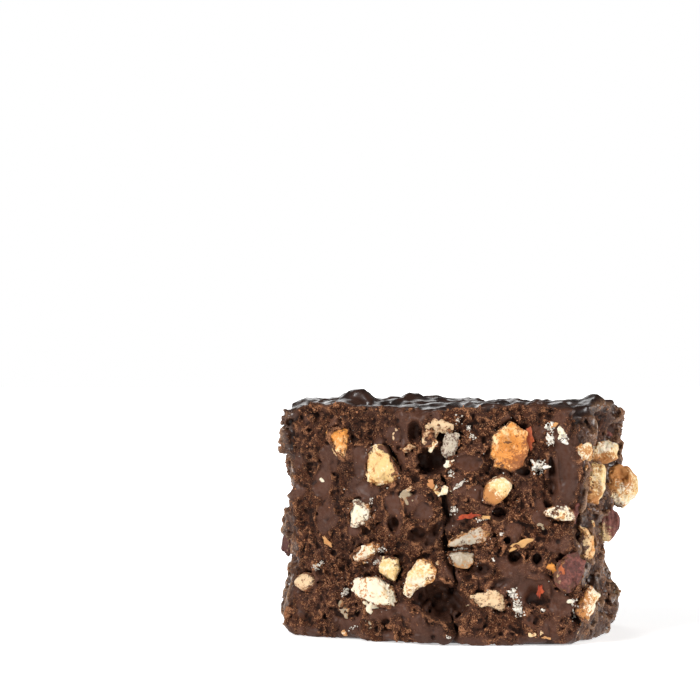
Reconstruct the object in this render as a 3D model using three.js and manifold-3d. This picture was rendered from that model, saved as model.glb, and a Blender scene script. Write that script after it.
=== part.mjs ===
// A chunky block of dark chocolate toffee, broken from a slab, with pieces of roasted hazelnut in it.
// Millimetres. X runs along the width, Y from the broken front to the broken back, Z up from the flat base.
import * as THREE from 'three';
import { mergeVertices } from 'three/addons/utils/BufferGeometryUtils.js';
import { ConvexGeometry } from 'three/addons/geometries/ConvexGeometry.js';
import { ImprovedNoise } from 'three/addons/math/ImprovedNoise.js';
import Module from 'manifold-3d';

// ---------- driving dimensions ----------

const HEIGHT = 67.4;        // flat base to the top skin, without the lumps on it
const FRONT_Y = -31;        // plane of the right part of the broken front
const CREASE_X = -4.5;      // crack in the front: left of it the front recedes
const RECESSION = 25;       // how far the left end of the front lies behind its right part
const RECESSION_POWER = 1.3;
const CORNER = {            // plan of the block
  frontLeft: new THREE.Vector2(-50, FRONT_Y + RECESSION),
  frontRight: new THREE.Vector2(30.5, FRONT_Y),
  backRight: new THREE.Vector2(49, 20),
  backLeft: new THREE.Vector2(-47, 26),
};
const BACK_BOW = 6;         // the broken back bulges this far past the line of its corners
const LEFT_BOW = 0.5;
const RIGHT_BOW = 0.8;
const RIM_RADIUS = 2.4;     // rounding of the block's edges
const FOOT_RADIUS = 1.1;    // rounding of the edges that it rests on
const CELL = 3.7;           // size of the facets of the chocolate

const SMALLEST_STEP = 0.15; // unevenness below this is left out of the chocolate
const GAP = 0.45;           // room round each nut in its socket
const SEED = 41;

// Relief of a face: [wavelength, height] of its coarse and fine unevenness.
const RELIEF = {
  front: [[15, 1.7], [6.5, 1.0]],
  back: [[17, 3.2], [6.5, 1.1]],
  left: [[13, 3.0], [6.5, 1.3]],
  right: [[13, 3.0], [6.5, 1.4]],
  top: [[13, 1.5], [6.5, 0.7]],
};

// Single lumps (+) and hollows (-): face, place along the face, height (on top: x, y), radius, rise.
const LUMPS = [
  ['left', 9, 31, 6.5, 3.0], ['left', 9, 25, 4, -1.6], ['left', 7, 8, 6, 1.6], ['left', 24, 52, 8, 2.0],
  ['left', 26, 16, 7, 2.0], ['left', 20, 40, 5, -2.4],
  ['right', 46, 24, 9, -6.5], ['right', 46, 7, 8, 1.4], ['right', 28, 60, 6, -3.0], ['right', 48, 58, 8, 1.6],
  ['right', 27, 3, 7, 4.6], ['right', 8, 62, 6, 1.5], ['right', 24, 40, 5, -2.0],
  ['top', -29.5, -4, 4.2, 5.0], ['top', -14, -6, 5, 2.6], ['top', 41, 4, 4, 2.0], ['top', 16, 18, 5, 1.0],
  ['top', -36, 16, 6, 2.0], ['top', 12, -20, 6, -0.8], ['top', 27, -12, 6, -1.2],
  ['back', 30, 46, 9, 2.4], ['back', 66, 22, 10, -3.0], ['back', 52, 54, 7, -2.2], ['back', 16, 16, 9, 2.0],
];

// Hollows and bubbles: face, place along the face, height, width, height, depth, turn in degrees.
const HOLLOWS = [
  ['front', -6.9, 12.5, 16, 10.5, 9, -14], ['front', -9.5, 51.8, 8, 7, 8, 20],
  ['front', 9.2, 37.2, 4.4, 3.6, 5, 0], ['front', 13.8, 25, 3.6, 3.8, 4, 0],
  ['front', 19.9, 24.3, 3, 3.2, 4, 0], ['front', -20.6, 33.9, 3, 4.4, 5, 0],
  ['front', -13.5, 30.8, 5, 3.8, 5, 10], ['front', -9.4, 31.2, 3, 7.4, 5, -35],
  ['front', -14.3, 59.8, 3, 5, 5, 0], ['front', -7.2, 59.8, 4.2, 4, 6, 0],
  ['front', 19.3, 12, 6.4, 14, 3, 6], ['front', 27, 48, 4.6, 17, 3.6, 0], ['front', -22, 4.6, 4, 5, 3, 0],
  ['right', 8, 64, 9, 3.4, 5, 12], ['right', 25, 60, 8, 4.4, 7, -20], ['right', 8, 36, 6, 8, 6, 10],
  ['right', 25, 32, 7, 10, 7, 0], ['right', 24, 14, 8, 8, 6, 0], ['right', 47, 53, 5, 6, 5, 0],
  ['left', 20, 24, 6, 5, 5, 0], ['left', 10, 42, 8, 6, 5, 30], ['left', 12, 56, 7, 5, 4, 0],
  ['back', 22, 33, 15, 11, 8, 20], ['back', 60, 40, 8, 7, 7, 0], ['back', 76, 56, 5, 6, 5, 0],
  ['back', 44, 14, 9, 6, 6, -20], ['back', 40, 58, 5, 4, 5, 0], ['back', 82, 12, 6, 8, 5, 0],
];
const LARGE_HOLLOW = 10;    // a hollow wider than this has more facets

// The crack down the front: height, x, width. It gets narrower upwards.
const CRACK = [
  [-1, -3.4, 2.6], [9, -3.6, 2.2], [18, -2.6, 2.4], [24, -4.2, 1.8],
  [30, -5.4, 2.4], [36, -4.6, 1.8], [41, -5.6, 1.6], [46, -6.4, 1.0],
];
const CRACK_DEPTH = 5;
const CRACK_TIP = 0.35;     // width of the crack at its bottom, as a share of its mouth

// Outlines of the kinds of nut piece, in lengths and widths.
const OUTLINE = {
  kernel: Array.from({ length: 8 }, (_, i) => [Math.cos(i * Math.PI / 4) / 2, Math.sin(i * Math.PI / 4) / 2]),
  shard: [[-0.5, -0.28], [-0.32, 0.42], [0.12, 0.5], [0.5, 0.12], [0.36, -0.42], [-0.18, -0.5]],
  wedge: [[-0.5, -0.05], [-0.42, 0.16], [0.28, 0.5], [0.48, 0.36], [0.5, -0.12], [0.3, -0.5]],
  slab: [[-0.5, -0.34], [-0.46, 0.36], [0.04, 0.5], [0.47, 0.34], [0.5, -0.3], [0.12, -0.5]],
  moon: [[-0.5, -0.22], [-0.4, 0.24], [-0.14, 0.5], [0.2, 0.5], [0.42, 0.2], [0.5, -0.4], [0, -0.5]],
};

// The nut pieces that show on the front and on the side beside it:
// face, place along the face, height, length, width, depth, turn, outline, shade, how far it stands out, yaw.
const SHOWN_NUTS = [
  ['front', -34.9, 55.8, 10.4, 6.6, 7, 108, 'wedge', 'golden', 0.9, 0],
  ['front', -23.9, 50.0, 13.2, 9.2, 8, 116, 'shard', 'cream', 1.1, 0],
  ['front', -29.8, 36.8, 7.8, 7.0, 6, 20, 'shard', 'cream', 0.8, 0],
  ['front', -4.6, 56.0, 7.4, 4.8, 5, 74, 'slab', 'grey', -0.4, 0],
  ['front', 12, 56.2, 14, 10, 8, 78, 'shard', 'golden', 1.0, 0],
  ['front', 8.7, 43.9, 10.4, 7, 7, 44, 'kernel', 'cream', 1.4, 0],
  ['front', 26.2, 37.4, 9, 4.2, 6, -6, 'moon', 'cream', 0.8, 0],
  ['front', -45.4, 15.8, 7.6, 5.6, 6, 8, 'kernel', 'tan', 0.8, 0],
  ['front', -28.2, 25.3, 9.2, 4.4, 5, 30, 'slab', 'cream', 0.9, 0],
  ['front', -21.7, 20.9, 7.8, 6, 6, 106, 'wedge', 'cream', 0.9, 0],
  ['front', -26.2, 14.4, 14.2, 7.4, 8, -12, 'moon', 'cream', 1.3, 0],
  ['front', -13.6, 18.6, 12.2, 7.0, 7, 50, 'wedge', 'cream', 1.2, 0],
  ['front', 1.2, 30.7, 12.4, 5.2, 6, 16, 'wedge', 'grey', 0.6, 0],
  ['front', -1.2, 24.3, 7.4, 4.8, 6, 178, 'moon', 'grey', 0.6, 0],
  ['front', 5.9, 12.9, 11.4, 6.2, 6, 2, 'wedge', 'tan', 0.5, 0],
  ['right', 20.4, 53.2, 11.6, 6.2, 9, 2, 'slab', 'tan', 2.1, -58],
  ['right', 11.8, 44.8, 11.2, 7.4, 9, 76, 'slab', 'cream', 1.9, -54],
  ['right', 44, 42, 12.6, 10.4, 10, 70, 'shard', 'tan', 3.6, -40],
  ['right', 36, 31, 10.4, 7.8, 9, 70, 'kernel', 'skin', 2.6, -52],
  ['right', 10.2, 27.4, 10.2, 5.8, 6, 96, 'moon', 'golden', 1.1, -52],
  ['front', 29.4, 20.4, 10.8, 8, 6, 76, 'kernel', 'skin', 0.4, 24],
  ['right', 3.6, 11.6, 11.2, 6, 7, 72, 'shard', 'cream', 0.4, -54],
  ['left', 9, 26, 8.4, 5.4, 6, 70, 'shard', 'cream', 0.2, 0],
];

// The two faces away from these carry pieces of the same kinds: face, how many, nearest spacing,
// first and last place along the face, lowest and highest.
const SCATTERED_NUTS = [['back', 15, 12.5, [9, 87], [7, 60]], ['left', 3, 13, [16, 26], [12, 58]]];
const NUT_LENGTH = [8, 13.5];
const NUT_SLENDERNESS = [0.55, 0.85];
const NUT_PROUD = [0.3, 1.3];
const NUT_DEPTH = 0.6;      // share of its length
const SHADES = ['cream', 'golden', 'cream', 'tan', 'cream', 'grey', 'golden', 'skin'];

// Crumbs of nut too small to be pieces of their own, stuck in the surface:
// face, place along the face, height, width, height, turn.
const SHOWN_CRUMBS = [
  ['front', -7.4, 62.6, 6.4, 3.4, -8], ['front', -11, 58.3, 3, 6, -30], ['front', -16.4, 55.2, 4, 2.6, 20],
  ['front', -6.9, 43.8, 4.8, 2.8, -8], ['front', -16.4, 40.4, 4.6, 3.6, -30], ['front', -26.5, 9, 3.4, 3, 0],
  ['front', -34.8, 8.7, 3, 4.2, 0], ['front', -27.1, 5.6, 3.4, 5.4, 15], ['front', 19, 3.6, 5, 2.4, 0],
  ['front', 20.7, 50.1, 4, 4.2, 0], ['front', 23.6, 59.2, 2.4, 6.2, 0], ['front', 27, 59.3, 3, 5.9, 30],
  ['front', 15.1, 28.3, 5.6, 2.6, 25], ['front', 14.4, 12.4, 3.4, 9, 12], ['right', 3, 55.4, 3.6, 2.6, 0],
];
const SCATTERED_CRUMBS = [['back', 10], ['left', 3], ['right', 3]];
const CRUMB_SIZE = [2.6, 5];
const CRUMB_RISE = 1.2;

const MATERIAL = {
  chocolate: { color: 0x4b342d, roughness: 0.55, metalness: 0 },
  cream: { color: 0xf3e1bc, roughness: 0.6, metalness: 0 },
  golden: { color: 0xdd9848, roughness: 0.5, metalness: 0 },
  tan: { color: 0xc9a072, roughness: 0.6, metalness: 0 },
  grey: { color: 0xa59a88, roughness: 0.4, metalness: 0 },
  skin: { color: 0x7b4238, roughness: 0.6, metalness: 0 },
};

// ---------- small helpers ----------

const wasm = await Module();
wasm.setup();
const perlin = new ImprovedNoise();
const { clamp, degToRad, lerp } = THREE.MathUtils;

function seededRandom(seed) {
  let state = seed;
  return () => {
    state = (state + 0x6d2b79f5) | 0;
    let t = Math.imul(state ^ (state >>> 15), 1 | state);
    t = (t + Math.imul(t ^ (t >>> 7), 61 | t)) ^ t;
    return ((t ^ (t >>> 14)) >>> 0) / 4294967296;
  };
}

// A closed geometry with shared corners as a solid that can be joined and cut.
function solid(geometry) {
  const bare = geometry.clone();
  bare.deleteAttribute('normal');
  bare.deleteAttribute('uv');
  const merged = mergeVertices(bare);
  return new wasm.Manifold(new wasm.Mesh({
    numProp: 3,
    vertProperties: new Float32Array(merged.attributes.position.array),
    triVerts: new Uint32Array(merged.index.array),
  }));
}

function geometryOf(manifold) {
  const { vertProperties, triVerts } = manifold.getMesh();
  const geometry = new THREE.BufferGeometry();
  geometry.setAttribute('position', new THREE.BufferAttribute(vertProperties, 3));
  geometry.setIndex(new THREE.BufferAttribute(triVerts, 1));
  geometry.computeVertexNormals();
  return geometry;
}

// ---------- the faces of the block ----------

const frontLine = (x) => FRONT_Y
  + RECESSION * (Math.max(0, CREASE_X - x) / (CREASE_X - CORNER.frontLeft.x)) ** RECESSION_POWER;

// A bowed line from one corner to the next, with the block on its left as seen from above.
function bowedLine(from, to, bow) {
  const length = from.distanceTo(to);
  const out = new THREE.Vector2(to.y - from.y, from.x - to.x).divideScalar(length);
  return {
    length,
    out,
    point: (s) => from.clone().lerp(to, s).addScaledVector(out, bow * 4 * s * (1 - s)),
  };
}
const EDGE = {
  right: bowedLine(CORNER.frontRight, CORNER.backRight, RIGHT_BOW),
  back: bowedLine(CORNER.backRight, CORNER.backLeft, BACK_BOW),
  left: bowedLine(CORNER.backLeft, CORNER.frontLeft, LEFT_BOW),
};

// Point of the undisturbed face and its outward direction. Along the front the place is x;
// along the right side it is counted from the front corner, along the back from the right, along the left
// side from the front. On the top the place is x, y.
function onFace(face, along, height) {
  if (face === 'top') return [new THREE.Vector3(along, height, HEIGHT), new THREE.Vector3(0, 0, 1)];
  if (face === 'front') {
    const slope = (frontLine(along + 1) - frontLine(along - 1)) / 2;
    return [new THREE.Vector3(along, frontLine(along), height), new THREE.Vector3(slope, -1, 0).normalize()];
  }
  const edge = EDGE[face];
  const share = face === 'left' ? 1 - along / edge.length : along / edge.length;
  const { x, y } = edge.point(share);
  return [new THREE.Vector3(x, y, height), new THREE.Vector3(edge.out.x, edge.out.y, 0)];
}

// How far the chocolate stands out of (+) or back from (-) a face at a point.
const lumpCentres = LUMPS.map(([face, along, height, radius, rise]) => (
  { face, centre: onFace(face, along, height)[0], radius, rise }));

function relief(face, point) {
  let out = 0;
  RELIEF[face].forEach(([wave, height], octave) => {
    out += height * perlin.noise(point.x / wave + 7 * octave, point.y / wave + 3, point.z / wave + 11);
  });
  for (const lump of lumpCentres.filter((one) => one.face === face)) {
    out += lump.rise * Math.exp(-((point.distanceTo(lump.centre) / lump.radius) ** 2));
  }
  return out;
}

// ---------- the chocolate ----------

// A box with rounded edges whose sides are bent to the plan and roughened.
function chocolateForm() {
  const half = new THREE.Vector3(EDGE.back.length / 2, EDGE.right.length / 2, HEIGHT / 2);
  const cells = half.clone().multiplyScalar(2 / CELL).round();
  const box = new THREE.BoxGeometry(2 * half.x, 2 * half.y, 2 * half.z, cells.x, cells.y, cells.z);
  const position = box.attributes.position;
  for (let i = 0; i < position.count; i++) {
    const p = new THREE.Vector3().fromBufferAttribute(position, i);
    const radius = p.z < CELL - half.z ? FOOT_RADIUS : RIM_RADIUS;
    const core = half.clone().subScalar(radius);
    const inner = p.clone().clamp(core.clone().negate(), core);
    const out = p.clone().sub(inner).normalize();
    p.copy(inner).addScaledVector(out, radius);

    // Blend of the four sides of the plan.
    const u = (p.x / half.x + 1) / 2;
    const v = (p.y / half.y + 1) / 2;
    const front = new THREE.Vector2(lerp(CORNER.frontLeft.x, CORNER.frontRight.x, u), 0);
    front.y = frontLine(front.x);
    const back = EDGE.back.point(1 - u);
    const left = EDGE.left.point(1 - v);
    const right = EDGE.right.point(v);
    const corners = CORNER.frontLeft.clone().multiplyScalar((1 - u) * (1 - v))
      .addScaledVector(CORNER.frontRight, u * (1 - v))
      .addScaledVector(CORNER.backRight, u * v)
      .addScaledVector(CORNER.backLeft, (1 - u) * v);
    const plan = front.multiplyScalar(1 - v).addScaledVector(back, v)
      .addScaledVector(left, 1 - u).addScaledVector(right, u).sub(corners);
    const point = new THREE.Vector3(plan.x, plan.y, p.z + half.z);

    // Each side pushes its own relief outwards; an edge shares that of its two faces.
    const shift = new THREE.Vector3();
    const push = (face, weight, normal) => {
      if (weight > 0) shift.addScaledVector(normal, weight * relief(face, point));
    };
    push('front', -out.y, onFace('front', clamp(point.x, CORNER.frontLeft.x, CORNER.frontRight.x), 0)[1]);
    push('back', out.y, new THREE.Vector3(EDGE.back.out.x, EDGE.back.out.y, 0));
    push('right', out.x, new THREE.Vector3(EDGE.right.out.x, EDGE.right.out.y, 0));
    push('left', -out.x, new THREE.Vector3(EDGE.left.out.x, EDGE.left.out.y, 0));
    push('top', out.z, new THREE.Vector3(0, 0, 1));
    point.add(shift);
    position.setXYZ(i, point.x, point.y, point.z);
  }
  return solid(box);
}

// Puts a shape modelled with its length along X, its width along Y and +Z outwards onto a side face.
function placeOnFace(geometry, face, along, height, { turn = 0, proud = 0, yaw = 0 }) {
  const [point, out] = onFace(face, along, height);
  point.addScaledVector(out, relief(face, point) + proud);
  const up = new THREE.Vector3(0, 0, 1);
  const facing = out.clone().applyAxisAngle(up, degToRad(yaw));
  const basis = new THREE.Matrix4().makeBasis(up.clone().cross(facing), up, facing);
  const turned = new THREE.Matrix4().makeRotationZ(degToRad(turn));
  return geometry.applyMatrix4(basis.multiply(turned).setPosition(point));
}

function hollow([face, along, height, width, tall, depth, turn]) {
  const bubble = new THREE.IcosahedronGeometry(0.5, width > LARGE_HOLLOW ? 2 : 1);
  bubble.scale(width, tall, 2 * depth);
  return solid(placeOnFace(bubble, face, along, height, { turn }));
}

function crumb([face, along, height, width, tall, turn]) {
  const grain = new THREE.IcosahedronGeometry(0.5, 0);
  grain.scale(width, tall, 2 * CRUMB_RISE);
  return solid(placeOnFace(grain, face, along, height, { turn }));
}

function crack() {
  const steps = CRACK.length - 1;
  const blade = new THREE.BoxGeometry(1, 1, 1, 1, 1, steps);
  const position = blade.attributes.position;
  for (let i = 0; i < position.count; i++) {
    const [height, x, width] = CRACK[Math.round((position.getZ(i) + 0.5) * steps)];
    const isMouth = position.getY(i) < 0;
    const halfWidth = (width / 2) * (isMouth ? 1 : CRACK_TIP);
    const y = frontLine(x) + (isMouth ? -CRACK_DEPTH : CRACK_DEPTH);
    position.setXYZ(i, x + 2 * position.getX(i) * halfWidth, y, height);
  }
  return solid(blade);
}

// ---------- the nuts ----------

// A convex piece: its outline, drawn in towards a crowned top and a smaller back.
const NUT_RINGS = [[0.66, 0.14], [1, 0], [0.9, -0.4], [0.45, -0.8]];  // share of the outline, of the depth
const NUT_UNEVENNESS = 0.1;
const RING_UNEVENNESS = 0.01;
function nutGeometry(nut, grow) {
  const random = seededRandom(nut.seed);
  const points = [];
  for (const [share, level] of NUT_RINGS) {
    for (const [a, b] of OUTLINE[nut.outline]) {
      const uneven = share * (1 + NUT_UNEVENNESS * (random() - 0.5));
      points.push(new THREE.Vector3(
        a * uneven * (nut.length + grow),
        b * uneven * (nut.width + grow),
        (level + RING_UNEVENNESS * random()) * (nut.depth + grow) + grow / 4,
      ));
    }
  }
  return placeOnFace(new ConvexGeometry(points), nut.face, nut.along, nut.height, nut);
}

function nearestGap(nut, others) {
  const [here] = onFace(nut.face, nut.along, nut.height);
  return Math.min(...others.map((o) => here.distanceTo(onFace(o.face, o.along, o.height)[0])));
}

const MARGIN = 9;           // scattered crumbs keep this far from the ends of a face
const MAX_TRIES = 4000;
const random = seededRandom(SEED);
const between = ([low, high]) => lerp(low, high, random());

function scatteredNuts(shown) {
  const kinds = Object.keys(OUTLINE);
  const found = [];
  for (const [face, count, spacing, places, heights] of SCATTERED_NUTS) {
    const here = [];
    const others = [...shown, ...found];
    const hollows = HOLLOWS.filter(([other]) => other === face);
    for (let tries = 0; here.length < count && tries < MAX_TRIES; tries++) {
      const length = between(NUT_LENGTH);
      const nut = {
        face, along: between(places), height: between(heights), length,
        width: length * between(NUT_SLENDERNESS), depth: NUT_DEPTH * length, turn: 180 * random(),
        outline: kinds[Math.floor(random() * kinds.length)], proud: between(NUT_PROUD), yaw: 0,
        shade: SHADES[(found.length + here.length) % SHADES.length],
      };
      const clearOfHollows = hollows.every(([, along, height, width]) => (
        Math.hypot(along - nut.along, height - nut.height) > (width + nut.length) / 2));
      if (clearOfHollows && nearestGap(nut, [...here, ...others]) > spacing) here.push(nut);
    }
    found.push(...here);
  }
  return found;
}

function scatteredCrumbs() {
  return SCATTERED_CRUMBS.flatMap(([face, count]) => Array.from({ length: count }, () => (
    [face, between([MARGIN, EDGE[face].length - MARGIN]), between([MARGIN, HEIGHT - MARGIN]),
      between(CRUMB_SIZE), between(CRUMB_SIZE), 180 * random()])));
}

const FIELDS = [
  'face', 'along', 'height', 'length', 'width', 'depth', 'turn', 'outline', 'shade', 'proud', 'yaw',
];
const shownNuts = SHOWN_NUTS.map((row) => Object.fromEntries(row.map((value, i) => [FIELDS[i], value])));
const nuts = [...shownNuts, ...scatteredNuts(shownNuts)]
  .map((nut, index) => ({ ...nut, seed: SEED + index }));

// ---------- the block put together ----------

let chocolate = chocolateForm();
for (const row of HOLLOWS) chocolate = chocolate.subtract(hollow(row));
chocolate = chocolate.subtract(crack());
for (const row of [...SHOWN_CRUMBS, ...scatteredCrumbs()]) chocolate = chocolate.add(crumb(row));
for (const nut of nuts) chocolate = chocolate.subtract(solid(nutGeometry(nut, 2 * GAP)));
chocolate = chocolate.simplify(SMALLEST_STEP);
[chocolate] = chocolate.decompose().sort((a, b) => b.volume() - a.volume());  // without loose scraps

const toffee = new THREE.Group();
function addPiece(name, geometry, finish) {
  const mesh = new THREE.Mesh(geometry, new THREE.MeshStandardMaterial(MATERIAL[finish]));
  mesh.name = name;
  toffee.add(mesh);
}
addPiece('toffee_block', geometryOf(chocolate), 'chocolate');
nuts.forEach((nut, index) => {
  const name = `hazelnut_${String(index + 1).padStart(2, '0')}`;
  addPiece(name, geometryOf(solid(nutGeometry(nut, 0))), nut.shade);
});

// The origin is the middle of the base.
const extent = new THREE.Box3().setFromObject(toffee);
const middle = extent.getCenter(new THREE.Vector3());
toffee.position.set(-middle.x, -middle.y, -extent.min.z);

export default toffee;
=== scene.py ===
# The looks of a chunky block of dark chocolate toffee with pieces of roasted hazelnut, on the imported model.
# Lengths are millimetres until a mesh is made. Places on the block are written in the coordinates of the
# part's source, and here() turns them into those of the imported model.
import math

import bpy
import numpy as np
import openvdb
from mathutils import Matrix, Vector
from mathutils.bvhtree import BVHTree


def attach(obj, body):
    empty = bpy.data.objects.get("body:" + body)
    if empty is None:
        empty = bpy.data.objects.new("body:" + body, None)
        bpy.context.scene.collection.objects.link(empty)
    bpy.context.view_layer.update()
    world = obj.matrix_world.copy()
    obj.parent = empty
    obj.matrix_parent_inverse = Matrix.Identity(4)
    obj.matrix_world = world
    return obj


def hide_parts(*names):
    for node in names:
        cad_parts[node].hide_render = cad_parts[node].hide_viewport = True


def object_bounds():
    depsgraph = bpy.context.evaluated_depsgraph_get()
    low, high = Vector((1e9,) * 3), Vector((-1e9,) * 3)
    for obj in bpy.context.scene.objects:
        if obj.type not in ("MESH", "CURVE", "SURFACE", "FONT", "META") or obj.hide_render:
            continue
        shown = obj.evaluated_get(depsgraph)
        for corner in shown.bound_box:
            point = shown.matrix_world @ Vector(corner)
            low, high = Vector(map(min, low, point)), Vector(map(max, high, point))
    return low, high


MM = 0.001
SEED = 41
MIDDLE = np.array([0.748, -1.357, 0.0])  # middle of the block in the source's coordinates

# The camera stands level in front of the broken face.
CAMERA_PLACE = (-32.5, -626.0, 83.0)
LENS = 109.3
SENSOR = 36.0

# The broken front, as in the source: left of the crease it recedes.
FRONT_Y = -31.0
CREASE_X = -4.5
FRONT_LEFT_X = -50.0
RECESSION = 25.0
RECESSION_POWER = 1.3

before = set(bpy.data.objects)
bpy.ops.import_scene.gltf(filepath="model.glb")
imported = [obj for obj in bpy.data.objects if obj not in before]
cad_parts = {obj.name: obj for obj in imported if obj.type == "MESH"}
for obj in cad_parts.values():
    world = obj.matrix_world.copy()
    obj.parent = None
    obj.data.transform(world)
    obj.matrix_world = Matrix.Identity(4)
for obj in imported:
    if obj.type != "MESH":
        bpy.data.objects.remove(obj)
cad_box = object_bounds()
CAD_LOW, CAD_HIGH = (np.array(corner) / MM for corner in cad_box)

STEP = 0.38        # of the grid that the chocolate is shaped in
NUT_STEP = 0.27    # of the grids of the nuts
MARGIN = 2.4                         # of a grid around what it holds

# The block with its corners melted away gives the way out at every place.
COARSE_STEP = 1.6
COARSE_REACH = 16.0
MELT = 3.4


def here(x, y, z):
    return np.array([x, y, z], float) - MIDDLE


def front_line(x):
    share = max(0.0, CREASE_X - x) / (CREASE_X - FRONT_LEFT_X)
    return FRONT_Y + RECESSION * share ** RECESSION_POWER


def turned(degrees):
    """Cosine and sine of an angle."""
    return math.cos(math.radians(degrees)), math.sin(math.radians(degrees))


def smoothstep(low, high, value):
    share = np.clip((value - low) / (high - low), 0, 1)
    return share * share * (3 - 2 * share)


# ---------- fields of distances on grids ----------

class Grid:
    """Evenly spaced points over a box."""

    def __init__(self, low, high, step):
        self.step = step
        self.first = np.floor(np.asarray(low) / step).astype(int)
        self.shape = tuple(np.ceil(np.asarray(high) / step).astype(int) - self.first + 1)

    def axis(self, k):
        return ((self.first[k] + np.arange(self.shape[k])) * self.step).astype(np.float32)

    def window(self, centre, reach):
        """The slices of the points within reach of a place, or None where there are none."""
        low = np.maximum(np.floor((centre - reach) / self.step).astype(int) - self.first, 0)
        high = np.minimum(np.ceil((centre + reach) / self.step).astype(int) - self.first + 1, self.shape)
        return tuple(slice(a, b) for a, b in zip(low, high)) if (high > low).all() else None

    def offsets(self, window, centre=(0, 0, 0)):
        """How far the points of a window lie from a place."""
        return np.ix_(*(self.axis(k)[window[k]] - np.float32(centre[k]) for k in range(3)))

    def axes(self):
        return self.offsets((slice(None),) * 3)


def level_set(points, triangles, grid, reach):
    """Distance to a closed mesh, below 0 inside it."""
    transform = openvdb.createLinearTransform(voxelSize=grid.step)
    level = openvdb.FloatGrid.createLevelSetFromPolygons(
        points.astype(np.float32), triangles=triangles.astype(np.uint32), transform=transform,
        halfWidth=reach / grid.step)
    values = np.empty(grid.shape, np.float32)
    level.copyToArray(values, ijk=tuple(int(i) for i in grid.first))
    return values


def polygons(values, grid):
    """Points and quads of the surface where a field is 0."""
    limit = 3 * grid.step
    clipped = np.clip(values, -limit, limit).astype(np.float32)
    level = openvdb.FloatGrid(limit)
    level.transform = openvdb.createLinearTransform(voxelSize=grid.step)
    level.copyFromArray(clipped, ijk=tuple(int(i) for i in grid.first), tolerance=1e-6)
    return level.convertToQuads(isovalue=0.0)


def along(values, taps, axis):
    """Weighted sums along one axis. Each tap has an index and a weight for every place of the result."""
    shape = [1, 1, 1]
    shape[axis] = -1
    total = 0
    for index, weight in taps:
        total = total + np.take(values, index, axis=axis) * weight.astype(np.float32).reshape(shape)
    return total


def blur(values, width, step):
    reach = math.ceil(3.2 * width / step)
    for axis, count in enumerate(values.shape):
        index = np.arange(count) + np.arange(-reach, reach + 1)[:, None]
        weight = np.exp(-0.5 * (np.arange(-reach, reach + 1) * step / width) ** 2)[:, None]
        weight = weight * ((index >= 0) & (index < count))
        values = along(values, zip(index.clip(0, count - 1), weight / weight.sum(0)), axis)
    return values


def refine(values, coarse, grid):
    """Values of a coarse grid at the points of a finer one."""
    for axis in range(3):
        place = grid.axis(axis) / coarse.step - coarse.first[axis]
        base = np.clip(np.floor(place).astype(int), 0, coarse.shape[axis] - 2)
        part = place - base
        values = along(values, [(base, 1 - part), (base + 1, part)], axis)
    return values


SPLINE_DEVIATION = 0.332  # of random values of deviation 1 after the cubic spline below


def noise(grid, wave, seed, stretch=(1, 1, 1)):
    """Smooth random values of deviation 1, with bumps about as large as wave."""
    rng = np.random.default_rng(seed)
    spacing = [wave / 2 * s for s in stretch]
    counts = [int(n * grid.step / s) + 5 for n, s in zip(grid.shape, spacing)]
    values = rng.standard_normal(counts).astype(np.float32)
    for axis in range(3):
        place = np.arange(grid.shape[axis]) * grid.step / spacing[axis] + 2
        taps = []
        for index in np.floor(place).astype(int) + np.arange(-1, 3)[:, None]:
            apart = np.abs(place - index)
            inner = 2 / 3 - apart ** 2 + apart ** 3 / 2
            taps.append((index, np.where(apart < 1, inner, (2 - apart) ** 3 / 6)))
        values = along(values, taps, axis)
    return values / SPLINE_DEVIATION


def cells(grid, shell, size, seed):
    """Distance to the nearest of scattered points about size apart, in sizes, near the given shell."""
    rng = np.random.default_rng(seed)
    counts = [int(n * grid.step / size) for n in grid.shape]
    corner = np.stack(np.meshgrid(*(np.arange(n) for n in counts), indexing="ij"), -1).reshape(-1, 3)
    centres = (grid.first * grid.step) + (corner + rng.random(corner.shape)) * size
    index = np.clip(np.rint(centres / grid.step).astype(int) - grid.first, 0, np.array(grid.shape) - 1)
    centres = centres[np.abs(shell[tuple(index.T)]) < 1.6 * size]
    nearest = np.full(grid.shape, 1.5, np.float32)
    for centre in centres:
        window = grid.window(centre, 1.2 * size)
        if window:
            x, y, z = grid.offsets(window, centre)
            nearest[window] = np.minimum(nearest[window], np.sqrt(x * x + y * y + z * z) / size)
    return nearest


def highest(*fields):
    return np.max(np.stack(np.broadcast_arrays(*fields)), 0)


def smooth_min(a, b, width):
    """The lower of two fields, with a fillet."""
    h = np.clip(width - np.abs(a - b), 0, None) / width
    return np.minimum(a, b) - h * h * width / 4


def sample(values, grid, points):
    """Values of a field at any points."""
    place = points / grid.step - grid.first
    base = np.clip(np.floor(place).astype(int), 0, np.array(grid.shape) - 2)
    part = np.clip(place - base, 0, 1)
    total = np.zeros(len(points))
    for corner in np.ndindex(2, 2, 2):
        weight = np.prod(np.where(corner, part, 1 - part), axis=1)
        total += weight * values[tuple((base + corner).T)]
    return total


def slopes(values, grid, points):
    """Outward directions of a field at points."""
    found = np.stack([sample(part, grid, points) for part in np.gradient(values)], -1)
    return found / np.maximum(np.linalg.norm(found, axis=1, keepdims=True), 1e-6)


# ---------- meshes ----------

def read_values(items, key, kind, width=1):
    """One property of all vertices, faces or corners."""
    values = np.empty(len(items) * width, kind)
    items.foreach_get(key, values)
    return values


def read_mesh(name):
    """Points and triangles of a CAD node."""
    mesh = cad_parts[name].data
    mesh.calc_loop_triangles()
    points = read_values(mesh.vertices, "co", np.float32, 3)
    triangles = read_values(mesh.loop_triangles, "vertices", np.int32, 3)
    return points.reshape(-1, 3) / MM, triangles.reshape(-1, 3)


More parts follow.
